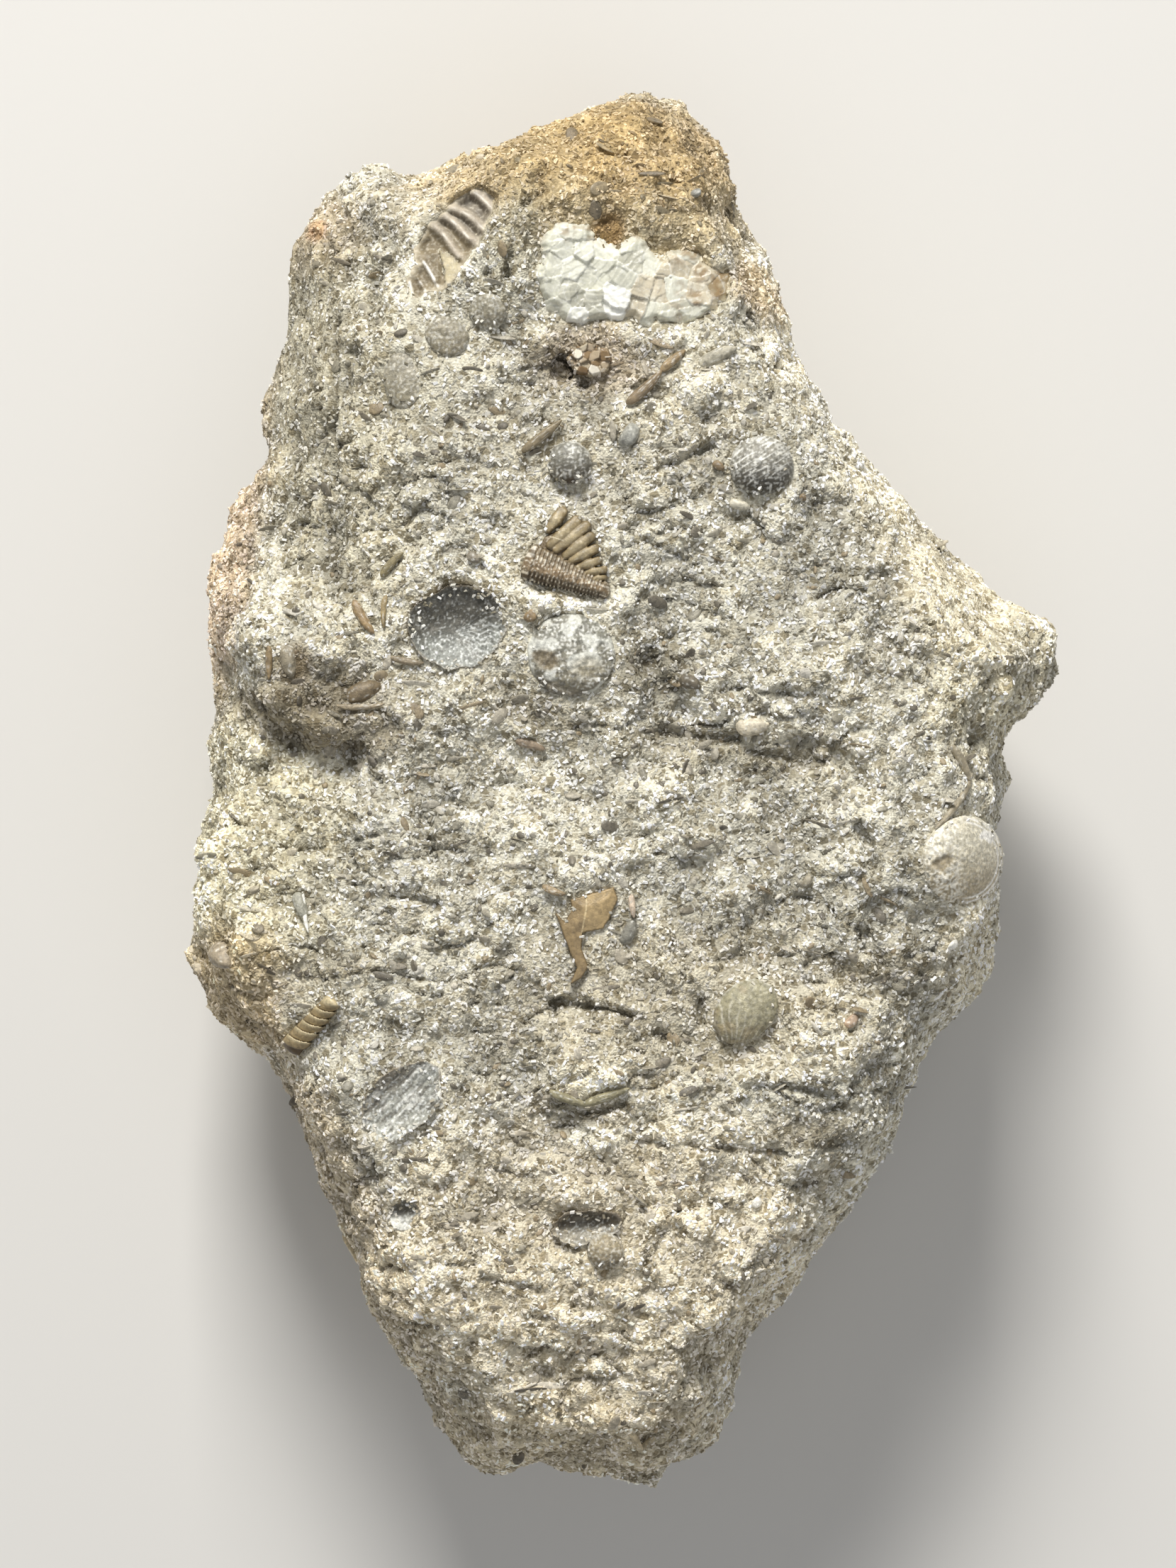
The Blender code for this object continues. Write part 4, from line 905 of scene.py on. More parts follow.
def crystal_finish(name, roughness, milk):
    """Broken crystal: its own tint, glossy facets and a little light let in below the surface."""
    finish = fossil_finish(name, roughness, 0.45, 0.08, 0.2, 0.03, 0.06)
    shader = finish.node_tree.nodes["Principled BSDF"]
    shader.inputs["Subsurface Weight"].default_value = milk
    shader.inputs["Subsurface Radius"].default_value = (1.0, 1.0, 0.9)
    shader.inputs["Subsurface Scale"].default_value = 0.6 * MM
    return finish


# Calcite broken along its cleavage: milky, with glossy flat faces.
cleaved_calcite = crystal_finish("cleaved milky calcite", 0.32, 0.3)
calcite = relief_piece("calcite_facets", CALCITE_BOX, 0.055, calcite_shape, calcite_paint, cleaved_calcite,
                       (0.5, 0.5))
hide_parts("calcite_crystals")

# Small rusty crystals at the rim of the dark pit under the calcite: a crumbly crust of tilted facets.
VUG_MIDDLE = (-2.2, 25.25)
VUG_RADII = (1.35, 1.0)
VUG_SEEDS = [
    (VUG_MIDDLE[0] + 0.2 * math.sqrt(number) * math.cos(2.4 * number),
     VUG_MIDDLE[1] + 0.15 * math.sqrt(number) * math.sin(2.4 * number)) for number in range(1, 60)
]


def vug_shape(points):
    """The border and the facets of the rusty crust."""
    _, height, border, _ = facets_at(points, VUG_SEEDS, 0.7, 0.14, 8)
    edge = 1.0 - ellipse_place(points, VUG_MIDDLE, VUG_RADII, 0.0)[2] + 0.15 * noise_at(points, 0.5, 4.0)
    height = 0.2 + height - 0.08 * (1.0 - soft(border, 0.0, 0.05))
    return edge, height - 0.5 * (1.0 - soft(edge, -0.02, 0.15))


def vug_paint(points, edge, height):
    """Pale brown facets, some white and some rusty."""
    which, _, border, _ = facets_at(points, VUG_SEEDS, 0.7, 0.14, 8)
    rng = np.random.default_rng(17)
    tones = np.array([linear(tone) for tone in ("#aa9a80", "#dbd4c3", "#8a7456", "#b8ac94", "#735e42")])
    colours = tones[rng.integers(len(tones), size=len(VUG_SEEDS))[which]]
    return mixed(colours, 0.6 * soft(0.05 - border, 0.0, 0.05), "#6d5a42")


rusty_crystal = crystal_finish("rust stained calcite crust", 0.35, 0.1)
vug_box = ((VUG_MIDDLE[0] - 1.6, VUG_MIDDLE[1] - 1.3), (VUG_MIDDLE[0] + 1.6, VUG_MIDDLE[1] + 1.3))
vug = relief_piece("vug_crust", vug_box, 0.045, vug_shape, vug_paint, rusty_crystal, (0.4, 0.5))
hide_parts("vug_crystals")

# Slivers of shell and trilobite spines lying in the face: smooth rods and lenses, seen half sunk.
# Each row gives the two ends, half the width, the height over the face, and the tone.
SPINES = {
    "spine_upper": ((0.0, 22.7), (1.9, 24.5), 0.3, 0.42, "#85745a"),
    "spine_upper_lens": ((4.2, 24.9), (6.3, 25.9), 0.42, 0.25, "#a9a390"),
    "spine_middle": ((-6.1, 19.9), (-3.95, 21.6), 0.27, 0.35, "#877a60"),
    "spine_left": ((-16.0, 11.1), (-14.9, 9.3), 0.3, 0.28, "#97815f"),
    "shell_crescent": ((-16.4, 5.3), (-14.5, 6.2), 0.6, 0.12, "#75674f"),
}
BITS = (
    ((1.99, 24.6), (3.32, 25.76), 0.26, 0.25, "#94805f"),
    ((-14.15, 11.4), (-14.25, 9.6), 0.17, 0.22, "#94835f"),
    ((-21.0, 8.4), (-21.0, 6.6), 0.2, 0.2, "#8d7a5a"), ((-19.85, 8.5), (-19.7, 6.7), 0.5, 0.15, "#8f8672"),
    ((-14.4, 12.6), (-13.2, 13.9), 0.24, 0.22, "#857a5a"),
    ((-13.8, 7.8), (-12.0, 7.5), 0.2, 0.18, "#8c7f68"), ((-16.9, 5.0), (-14.3, 5.1), 0.17, 0.3, "#94876e"),
    ((-24.2, -9.0), (-23.4, -10.3), 0.75, 0.2, "#9d9079"),
    ((-19.4, -6.0), (-18.9, -7.4), 0.38, 0.2, "#9c9a8b"),
    ((-19.0, -6.1), (-18.7, -8.2), 0.14, 0.22, "#e8e6da"),
    ((-9.3, 13.9), (-8.7, 13.4), 0.3, 0.25, "#8b8373"), ((-5.9, 10.5), (-5.4, 10.0), 0.42, 0.25, "#8d795a"),
    ((5.0, 19.2), (5.6, 18.8), 0.25, 0.2, "#8a785c"), ((10.1, 17.3), (10.4, 17.0), 0.2, 0.2, "#7d6c52"),
    ((3.9, 35.3), (4.1, 34.9), 0.35, 0.25, "#8f8e86"), ((19.0, -8.9), (19.3, -9.2), 0.35, 0.25, "#f4f1e6"),
    ((7.4, -24.0), (7.8, -24.3), 0.35, 0.25, "#f2eee2"), ((-0.3, 21.0), (0.5, 20.5), 0.75, 0.2, "#a3a298"),
    ((10.3, -5.2), (10.7, -5.4), 0.4, 0.2, "#a39b87"), ((12.9, -13.3), (13.3, -13.7), 0.5, 0.2, "#b9a28a"),
    ((-4.95, -5.55), (-3.7, -6.0), 0.22, 0.18, "#9d8a6b"),
    ((0.22, -6.1), (0.35, -7.35), 0.19, 0.15, "#cbb9a3"),
    ((-0.3, -8.9), (0.3, -7.6), 0.42, 0.15, "#8d8a7e"), ((19.0, 2.6), (20.1, 0.6), 0.24, 0.18, "#aa9f86"),
    ((20.1, 0.6), (18.0, -2.1), 0.2, 0.14, "#958b74"), ((-11.4, 26.0), (-11.0, 26.6), 0.2, 0.15, "#6d6657"),
    ((-13.8, 23.5), (-13.6, 22.9), 0.35, 0.2, "#6e6858"),
    ((-17.1, -26.9), (-16.2, -28.4), 0.2, 0.2, "#c7b795"),
    ((0.2, -37.7), (0.9, -39.1), 0.22, 0.25, "#b7a888"), ((0.9, -39.1), (1.7, -38.3), 0.2, 0.25, "#a89a7c"),
    ((-6.5, 2.9), (-4.9, 2.4), 0.28, 0.18, "#8f7f6a"), ((6.4, 3.8), (8.2, 3.9), 0.5, 0.2, "#cfc5ae"),
    ((-4.5, -17.6), (-2.4, -18.35), 0.26, 0.2, "#928b6e"),
    ((-2.6, -18.35), (0.0, -17.4), 0.26, 0.2, "#8f886b"), ((3.1, 6.6), (4.2, 6.1), 0.4, 0.2, "#6a6252"),
    ((6.0, 16.9), (7.1, 16.6), 0.3, 0.2, "#c8c2ae"),
)

# How far beside a rod the ground is looked at, and the steepest that a rod may lie.
BESIDE = 0.55
STEEPEST = 0.7


def sliver_bm(start, end, half, rise):
    """A smooth rod or lens between two places, half sunk in the face and a little bent."""
    bm = bmesh.new()
    bmesh.ops.create_icosphere(bm, subdivisions=4, radius=1.0)
    start, end = np.array(start), np.array(end)
    line = end - start
    length = np.linalg.norm(line)
    along, across = line / length, np.array((-line[1], line[0])) / length
    seed = 3.0 * start[0] + end[1]
    aside = across * (half + BESIDE)
    first, second = (sorted(ground(*((place + side * aside) * MM)) or 0.0 for side in (-1, 0, 1))[1]
                     for place in (start, end))
    top = (first + second) / 2.0
    slope = max(min((second - first) / (length * MM), STEEPEST), -STEEPEST)
    for vert in bm.verts:
        x, y, z = vert.co
        blunt = math.copysign(abs(x) ** 0.8, x)
        wobble = 1.0 + 0.12 * noise.noise(vert.co * 1.4 + Vector((seed, 0.0, 0.0)))
        bend = 0.06 * length * (1.0 - x * x) * math.sin(seed)
        place = (start + end) / 2.0 + along * blunt * length * 0.55
        place = place + across * (y * half * wobble * (1.0 - 0.25 * x) + bend)
        lift = slope * blunt * length * 0.55 * MM
        height = top + lift + (z * half * 0.9 * wobble + rise - half * 0.6) * MM
        vert.co = (place[0] * MM, place[1] * MM, height)
    return bm


def sliver_tint(mesh, tone):
    """The sliver's tone, mottled, with pale worn flecks."""
    points = points_of(mesh)
    colours = all_one(len(points), tone) * (1.0 + 0.2 * noise_at(points, 0.4, 13.0))[:, None]
    return mixed(colours, 0.5 * flecks(points, 0.16, 63.0, 0.35), SHELL_WHITE)


for name, (start, end, half, rise, tone) in SPINES.items():
    mesh = mesh_from(name + "_rod", sliver_bm(start, end, half, rise))
    keep_colours(mesh, "tint", sliver_tint(mesh, tone))
    mesh.shade_smooth()
    brown = name.startswith("spine") and not name.endswith("lens")
    mesh.materials.append(trilobite_shell if brown else shell_calcite)
    rod = fresh_object(name + "_rod", mesh)
    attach(rod, "root")
    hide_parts(name)

bits = bmesh.new()
bit_tones = []
for start, end, half, rise, tone in BITS:
    one = mesh_from("bit", sliver_bm(start, end, half, rise))
    bits.from_mesh(one)
    bit_tones.append(sliver_tint(one, tone))
bits_mesh = mesh_from("shell_bits", bits)
keep_colours(bits_mesh, "tint", np.concatenate(bit_tones))
bits_mesh.shade_smooth()
bits_mesh.materials.append(shell_calcite)
bits_piece = fresh_object("shell_bits", bits_mesh)
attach(bits_piece, "root")

# The stone: one broken lump of shelly limestone. Its main form is the CAD solid's, with the sockets
# filled flush again, and the weathered surface between the grains is worked into it in several sizes.
STONE_VOXEL = 0.52 * MM
ROUGHNESS_SIZES = ((5.0, 0.46, 1.7), (2.1, 0.30, 9.2), (0.95, 0.2, 23.4), (0.5, 0.14, 31.0))
CLAST_SIZE = 1.9
CLAST_HEIGHT = 0.36
CRUMB_SIZE = 0.8
CRUMB_HEIGHT = 0.16
STREAK_HEIGHT = 0.35
CREVICE_DEPTH = 0.5
NEAR_FOSSILS = 0.55
IN_CALM = 0.45
WORN_AWAY = 0.12
BASE_FREE = 0.6 * MM
UNDER_GAP = 0.14
INLAYS = [name for name in sorted(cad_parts) if name != "limestone_matrix"]
# Calmer places, and a fluted wall beside the mould, as ellipses: middle, radii and turn.
CALM = (((21.0, 12.5), (5.0, 4.5), 0.0), ((-20.0, 27.0), (3.5, 8.0), 8.0), ((-11.5, 24.5), (3.0, 5.0), 10.0))
FLUTED_WALL = ((-6.7, 31.8), (1.3, 3.7), -12.0)
# Cracks as start, end, width and depth, and pits as middle, radius and depth, read off the photograph.
CRACKS = (
    ((-4.3, -12.4), (0.2, -13.0), 0.22, 0.7), ((-4.2, -12.5), (-4.3, -14.5), 0.18, 0.6),
    ((-6.9, 31.4), (-7.15, 29.9), 0.2, 0.5), ((-11.4, -3.2), (-9.7, -3.6), 0.2, 0.6),
    ((-0.6, -15.3), (0.8, -15.3), 0.2, 0.5), ((1.7, -14.1), (2.3, -14.4), 0.25, 0.5),
    ((4.3, -12.3), (4.3, -13.6), 0.22, 0.6), ((13.5, -2.0), (14.5, -4.4), 0.3, 0.7),
    ((14.3, -8.5), (15.0, -10.3), 0.3, 0.6), ((1.8, 18.8), (5.0, 20.2), 0.25, 0.6),
    ((14.2, 12.6), (15.4, 12.9), 0.3, 0.5), ((1.0, -20.5), (2.1, -20.7), 0.2, 0.5),
    ((3.3, -20.6), (4.2, -20.8), 0.18, 0.5), ((5.2, -20.8), (6.2, -21.0), 0.18, 0.5),
    ((-7.4, 0.6), (-4.6, -0.1), 0.2, 0.4), ((2.2, 3.6), (6.4, 2.9), 0.3, 0.5),
    ((7.2, 2.3), (11.4, 1.6), 0.3, 0.5), ((-16.0, 15.0), (-14.6, 9.4), 0.3, 0.4),
    ((-13.6, -6.2), (-11.2, -6.6), 0.2, 0.4), ((8.9, -17.2), (12.0, -17.9), 0.25, 0.5),
    ((-4.3, -18.3), (-2.4, -19.0), 0.3, 0.5), ((-2.4, -19.0), (-0.4, -18.4), 0.3, 0.5),
    ((-17.5, 28.0), (-17.4, 17.5), 0.3, 0.35), ((-8.4, -28.6), (-5.2, -29.2), 0.2, 0.4),
)
PITS = (
    ((0.35, 15.4), 0.5, 0.5), ((-0.8, 13.4), 0.4, 0.4), ((1.0, 11.5), 0.5, 0.5), ((10.2, 17.0), 0.5, 0.5),
    ((20.8, 3.1), 0.6, 0.5), ((-11.0, -23.3), 0.5, 0.5), ((-9.3, -30.9), 0.5, 0.5),
    ((-4.8, -34.5), 0.5, 0.5), ((-0.1, -33.1), 0.5, 0.5), ((2.2, -37.6), 0.5, 0.5),
    ((-8.3, 30.2), 0.35, 0.6), ((-7.1, 29.9), 0.35, 0.5), ((-1.1, 33.2), 0.5, 0.35),
    ((-3.65, 24.8), 0.75, 1.1), ((-2.6, 24.0), 0.5, 0.7), ((1.4, 7.4), 0.8, 0.6), ((9.2, 5.8), 0.6, 0.5),
    ((16.8, 4.1), 0.6, 0.5), ((-19.6, 2.8), 0.8, 0.5),
)

# Small swellings, as middle, radii and height.
LUMPS = (
    ((-2.3, -17.1), (2.4, 1.25), 0.55), ((-17.0, -2.0), (2.5, 1.5), 0.3), ((-3.6, 11.1), (2.6, 0.75), 0.4),
)
# The plugs that fill the sockets: their sides, how far they reach past a fossil, and top and foot.
PLUG_SIDES = 28
PLUG_WIDER = 1.12
PLUG_REACH = 0.55
PLUG_TOP = 0.1
PLUG_FOOT = 4.5


def with_modifiers(mesh, *modifiers):
    """The mesh that is left once the given modifiers have been applied."""
    item = fresh_object(mesh.name + "_work", mesh)
    for kind, settings in modifiers:
        modifier = item.modifiers.new(kind.lower(), kind)
        for key, value in settings.items():
            setattr(modifier, key, value)
    bpy.context.view_layer.update()
    result = bpy.data.meshes.new_from_object(item.evaluated_get(bpy.context.evaluated_depsgraph_get()))
    bpy.data.objects.remove(item, do_unlink=True)
    return result


def normals_of(mesh):
    """A mesh's vertex normals as an array."""
    flat = np.empty(len(mesh.vertices) * 3, dtype=np.float32)
    mesh.vertex_normals.foreach_get("vector", flat)
    return flat.reshape(-1, 3).astype(float)


def cells_at(points, size_mm, seed):
    """For each point, how far it is from the middle of its cell and a number that the cell keeps."""
    shift = Vector((seed, -seed, seed * 0.3))
    near, chance = [], []
    for point in points / (size_mm * MM):
        distances, middles = noise.voronoi(Vector(point) + shift)
        near.append(distances[0])
        chance.append(noise.cell(middles[0] * 7.31))
    return np.array(near), np.array(chance)


for name in INLAYS:
    low, high = (np.array(corner[:2]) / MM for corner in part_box(name))
    under = face_under(low, high)
    plug = bmesh.new()
    bmesh.ops.create_cone(plug, cap_ends=True, segments=PLUG_SIDES, radius1=1.0, radius2=1.0, depth=2.0)
    reach = (high - low) / 2.0 * PLUG_WIDER + PLUG_REACH
    for vert in plug.verts:
        x, y = (low + high) / 2.0 + np.array(vert.co[:2]) * reach
        vert.co = (x * MM, y * MM, (under(x, y) - (PLUG_TOP if vert.co.z > 0 else PLUG_FOOT)) * MM)
    cad_stone.from_mesh(mesh_from("plug", plug))

stone_mesh = with_modifiers(
    mesh_from("stone", cad_stone),
    ("REMESH", {"mode": "VOXEL", "voxel_size": STONE_VOXEL}),
    ("SMOOTH", {"factor": 0.5, "iterations": 4}),
)
stone_bm = bmesh.new()
stone_bm.from_mesh(stone_mesh)
base_faces = [face for face in stone_bm.faces if all(vert.co.z < 0.25 * MM for vert in face.verts)]
bmesh.ops.dissolve_faces(stone_bm, faces=base_faces, use_verts=True)
face_edges = {edge for face in stone_bm.faces
              if face.normal.z > 0.35 and face.calc_center_median().z > FRONT_FROM
              for edge in face.edges}
bmesh.ops.subdivide_edges(stone_bm, edges=list(face_edges), cuts=1, use_grid_fill=True)
stone_mesh = mesh_from("stone", stone_bm)

resting = points_of(stone_mesh)
facing = normals_of(stone_mesh)
in_front = resting[:, 2] > FRONT_FROM
push = np.zeros(len(resting))
for size, height, seed in ROUGHNESS_SIZES:
    push += height * noise_at(resting, size, seed)
near, chance = cells_at(resting, CLAST_SIZE, 4.0)
push += CLAST_HEIGHT * (1.0 - soft(near, 0.0, 0.75)) * np.where(chance > 0.35, 1.0, -0.9)
near, chance = cells_at(resting, CRUMB_SIZE, 12.0)
push += CRUMB_HEIGHT * (0.5 - near) * np.where(chance > -0.2, 1.0, -1.0)
stretched = resting * (1.0, 0.28, 0.6)
on_flank = soft(-14.0 - resting[:, 0] / MM, 0.0, 2.0) * soft(resting[:, 1] / MM, 8.0, 11.0)
push += STREAK_HEIGHT * on_flank * noise_at(stretched, 0.9, 50.0)
quiet = np.zeros(len(resting))
for low, high, shape, under, _ in laid:
    near = np.max(np.abs(resting[:, :2] / MM - (low + high) / 2.0) / ((high - low) / 2.0 + 0.9), axis=1)
    quiet = np.maximum(quiet, (1.0 - soft(near, 0.75, 1.0)) * in_front)
calm = np.zeros(len(resting))
for middle, radii, turn in CALM:
    calm = np.maximum(calm, 1.0 - soft(ellipse_place(resting, middle, radii, turn)[2], 0.7, 1.1))
push = push * (1.0 - NEAR_FOSSILS * quiet) * (1.0 - IN_CALM * calm) - WORN_AWAY
fluted = 1.0 - soft(ellipse_place(resting, *FLUTED_WALL)[2], 0.7, 1.1)
push = push * (1.0 - 0.5 * fluted) + 0.3 * fluted * streaks(resting, 78.0, 3.0, 0.5, 7.0)
crevice = np.abs(noise_at(resting * (0.45, 1.0, 1.0), 1.7, 70.0))
crevice = (1.0 - soft(crevice, 0.0, 0.075)) * soft(noise_at(resting, 3.2, 71.0), -0.15, 0.2)
push -= CREVICE_DEPTH * crevice * in_front * (1.0 - quiet)
for start, end, width, depth in CRACKS:
    _, off = along_line(resting, start, end)
    off = off + 0.12 * noise_at(resting, 0.6, 3.0)
    push -= depth * (1.0 - soft(off, 0.4 * width, 1.6 * width)) * in_front
for middle, radii, height in LUMPS:
    push += height * dome(ellipse_place(resting, middle, radii, 0.0)[2]) * in_front
for start, end, half, _, _ in [*SPINES.values(), *BITS]:
    near = 1.0 - soft(along_line(resting, start, end)[1], half + 0.05, half + 0.45)
    push -= near * np.maximum(push + 0.05, 0.0) * in_front
for middle, radius, depth in PITS:
    reach = ellipse_place(resting, middle, (radius, radius), 0.0)[2]
    push -= depth * (1.0 - soft(reach, 0.3, 1.2))
push *= soft(resting[:, 2], 0.2 * MM, 0.2 * MM + BASE_FREE)
shaped = resting + facing * push[:, None] * MM
shaped[:, 2] = np.maximum(shaped[:, 2], 0.0)
# Painted shade: how deep each point lies, used to darken the stone and its grains in the recesses.
recess_shade = soft(push, -0.75, 0.55)

# Under every fossil the stone is pressed down just below it, so that the fossil lies in the face.
for low, high, shape, under, _ in laid:
    at = np.nonzero(np.all((shaped[:, :2] / MM > low) & (shaped[:, :2] / MM < high), axis=1) & in_front)[0]
    if len(at):
        edge, height = shape(shaped[at] * FLAT)
        sheet = under(shaped[at, 0] / MM, shaped[at, 1] / MM) + height - UNDER_GAP
        share = soft(edge, 0.0, 0.28)
        z = shaped[at, 2] / MM
        shaped[at, 2] = (z * (1.0 - share) + np.minimum(z, sheet) * share) * MM
stone_mesh.vertices.foreach_set("co", shaped.astype(np.float32).ravel())
stone_mesh.update()

# Patches of colour over the stone, both stains and painted light and shade: middle, radii, turn, colour,
# strength.
STONE_GREY = "#c6c4bb"
STAINS_AND_PAINTED_SHADING = (
    ((0.0, 36.5), (9.0, 5.5), -8.0, "#a8956c", 0.7),
    ((1.0, 38.0), (5.5, 3.6), 0.0, "#957a4b", 0.5),
    ((-6.5, 37.3), (7.0, 2.6), 18.0, "#bda578", 0.5),
    ((-18.5, 33.5), (2.6, 2.4), 0.0, "#bda27c", 0.45),
    ((-24.3, 16.0), (2.2, 11.0), -8.0, "#d4b596", 0.5),
    ((-23.0, -3.0), (5.5, 8.0), 0.0, "#dfd9c0", 0.6),
    ((-23.8, -11.5), (4.0, 3.6), 0.0, "#b39c72", 0.6),
    ((-17.0, -25.0), (2.6, 11.0), 25.0, "#bfa984", 0.4),
    ((-4.0, -39.0), (9.0, 3.5), 0.0, "#b5a27c", 0.4),
    ((22.5, 7.0), (5.0, 5.0), 0.0, "#cbc4ab", 0.4),
    ((17.5, 14.5), (2.4, 6.0), 42.0, "#efeadb", 0.6),
    ((9.2, 28.5), (1.6, 4.5), 15.0, "#f3eee0", 0.6),
    ((-17.5, 22.0), (4.5, 12.0), 5.0, "#a39e8d", 0.65),
    ((-6.8, 31.6), (1.2, 3.4), -12.0, "#aaa799", 0.6),
    ((-5.4, 26.6), (0.9, 1.6), -25.0, "#e6e4da", 0.6),
    ((-8.0, 12.5), (1.6, 1.0), 20.0, "#efece2", 0.5),
    ((-2.5, 11.0), (1.8, 0.8), -15.0, "#efece2", 0.5),
    ((-2.2, 21.4), (1.6, 0.9), 0.0, "#efece2", 0.5),
    # Painted light: the lower part of the face is brightened.
    ((-2.0, -28.0), (13.0, 9.0), 0.0, "#d8cfbd", 0.7),
    # Painted shadow under the ledge at the left.
    ((-17.9, 6.4), (3.6, 1.7), 0.0, "#6f6653", 0.6),
    ((20.3, -9.5), (2.2, 3.6), 0.0, "#efeadc", 0.6),
    # Painted shade in a hollow.
    ((1.4, 7.0), (2.4, 1.3), 0.0, "#6f6856", 0.6),
    # Painted shadow along the step across the middle, this line and the next two.
    ((-5.8, 4.8), (3.2, 1.1), -20.0, "#857d6a", 0.5),
    ((3.6, 2.9), (3.0, 1.1), 0.0, "#857d6a", 0.5),
    ((9.5, 2.0), (3.0, 1.2), 0.0, "#857d6a", 0.5),
    # Painted shadow under the left ledge.
    ((-19.5, 4.2), (5.5, 1.4), -14.0, "#7d7462", 0.6),
    # Painted shadow under a small step.
    ((11.1, -20.2), (2.6, 0.9), 0.0, "#857d6a", 0.5),
    ((-2.0, -20.3), (1.7, 0.8), 0.0, "#f2f0e6", 0.6),
    # Painted shade in the hollow by the left ledge, and painted shadow under that ledge in the next two lines.
    ((-19.4, 7.6), (0.9, 1.3), 0.0, "#6b5a40", 0.6),
    ((-17.2, 4.6), (5.2, 1.9), -8.0, "#6f6450", 0.4),
    ((-18.0, 2.6), (3.6, 0.8), -12.0, "#574d3e", 0.45),
    # Painted light on the top of the lump there.
    ((-2.3, -17.1), (2.0, 0.9), 0.0, "#efecdf", 0.6),
    ((3.0, -12.5), (11.0, 4.5), 0.0, "#b0a793", 0.45),
    ((-1.0, 22.0), (8.0, 5.5), 0.0, "#b4afa2", 0.45),
    ((20.5, 12.5), (5.0, 5.0), 0.0, "#e2dccc", 0.6),
    # Painted shadows along a low step, this line and the next.
    ((15.6, -10.1), (2.6, 0.9), 0.0, "#857d6a", 0.5),
    ((-17.4, -10.1), (2.6, 0.9), 0.0, "#857d6a", 0.5),
    ((-2.2, 25.2), (3.2, 2.0), 0.0, "#93816a", 0.55),
    ((8.0, 29.8), (1.8, 1.8), 0.0, "#b59c74", 0.6),
    ((-1.1, 32.9), (0.9, 0.9), 0.0, "#8a6c3e", 0.8),
    ((-18.7, 33.7), (0.7, 0.7), 0.0, "#b98a55", 0.5),
)


def stained(points):
    """The stone's own colour at every point, with its stains and with patches of painted light and shade."""
    colours = all_one(len(points), STONE_GREY)
    wander = noise_at(points, 2.2, 5.0)
    for middle, radii, turn, colour, strength in STAINS_AND_PAINTED_SHADING:
        reach = ellipse_place(points, middle, (radii[0] * 1.5, radii[1] * 1.5), turn)[2]
        colours = mixed(colours, strength * soft(1.0 - reach + 0.22 * wander, 0.0, 0.6), colour)
    return colours


def keep_values(mesh, name, values):
    """Store one number for each vertex under a name that a material can read."""
    layer = mesh.attributes.new(name, "FLOAT", "POINT")
    layer.data.foreach_set("value", values.astype(np.float32))


keep_colours(stone_mesh, "tint", stained(shaped))
keep_values(stone_mesh, "recess_shade", recess_shade)
stone_mesh.shade_smooth()

# Weathered grainstone: dull and rough. Clear grey and olive grains half a millimetre across lie in
# white powdery calcite, with finer sugar over everything and painted shade darkening the recesses.
GRAIN_MM = 0.55
SUGAR_MM = 0.15
limestone = bpy.data.materials.new("weathered shelly limestone")
limestone.use_nodes = True
tree = limestone.node_tree
shader = tree.nodes["Principled BSDF"]
place = add(tree, "ShaderNodeTexCoord").outputs["Object"]
tint = add(tree, "ShaderNodeAttribute", attribute_name="tint").outputs["Color"]
deep = add(tree, "ShaderNodeAttribute", attribute_name="recess_shade").outputs["Fac"]
drift = add(tree, "ShaderNodeTexNoise", {"Vector": place, "Scale": per_metre(0.5), "Detail": 3.0})
drifted = add(tree, "ShaderNodeVectorMath", {
    0: drift.outputs["Color"], 1: (0.0004, 0.0004, 0.0004), 2: place}, operation="MULTIPLY_ADD")
clast = add(tree, "ShaderNodeTexVoronoi", {"Vector": drifted.outputs[0], "Scale": per_metre(GRAIN_MM)})
powder = add(tree, "ShaderNodeTexVoronoi", {"Vector": drifted.outputs[0], "Scale": per_metre(GRAIN_MM)},
             feature="DISTANCE_TO_EDGE")
tone = add(tree, "ShaderNodeValToRGB", {"Fac": add(
    tree, "ShaderNodeSeparateColor", {"Color": clast.outputs["Color"]}).outputs["Red"]})
ramp = tone.color_ramp
ramp.elements[0].color = (*linear("#8a8370"), 1.0)
ramp.elements[1].color = (*linear("#f6f4ea"), 1.0)
for spot, colour in ((0.18, "#a59c86"), (0.42, "#c0b9a6"), (0.68, "#dad5c5")):
    ramp.elements.new(spot).color = (*linear(colour), 1.0)
edge_white = add(tree, "ShaderNodeMapRange", {
    "Value": powder.outputs["Distance"], "From Min": 0.0, "From Max": 0.14, "To Min": 0.75, "To Max": 0.0})
vein = add(tree, "ShaderNodeTexNoise", {"Vector": place, "Scale": per_metre(1.9), "Detail": 2.0})
vein = add(tree, "ShaderNodeMath", {0: vein.outputs["Fac"], 1: 0.5}, operation="SUBTRACT")
vein = add(tree, "ShaderNodeMath", {0: vein.outputs[0]}, operation="ABSOLUTE")
vein = add(tree, "ShaderNodeMapRange", {
    "Value": vein.outputs[0], "From Min": 0.004, "From Max": 0.016, "To Min": 0.8, "To Max": 0.0})
pale = add(tree, "ShaderNodeMath", {0: edge_white.outputs["Result"], 1: vein.outputs["Result"]},
           operation="MAXIMUM")
whitened = add(tree, "ShaderNodeMix", {
    "Factor": pale.outputs[0], "A": tone.outputs["Color"], "B": (*linear("#f5f3ea"), 1.0)},
    data_type="RGBA")
sugar_spot = add(tree, "ShaderNodeTexVoronoi", {"Vector": place, "Scale": per_metre(SUGAR_MM)})
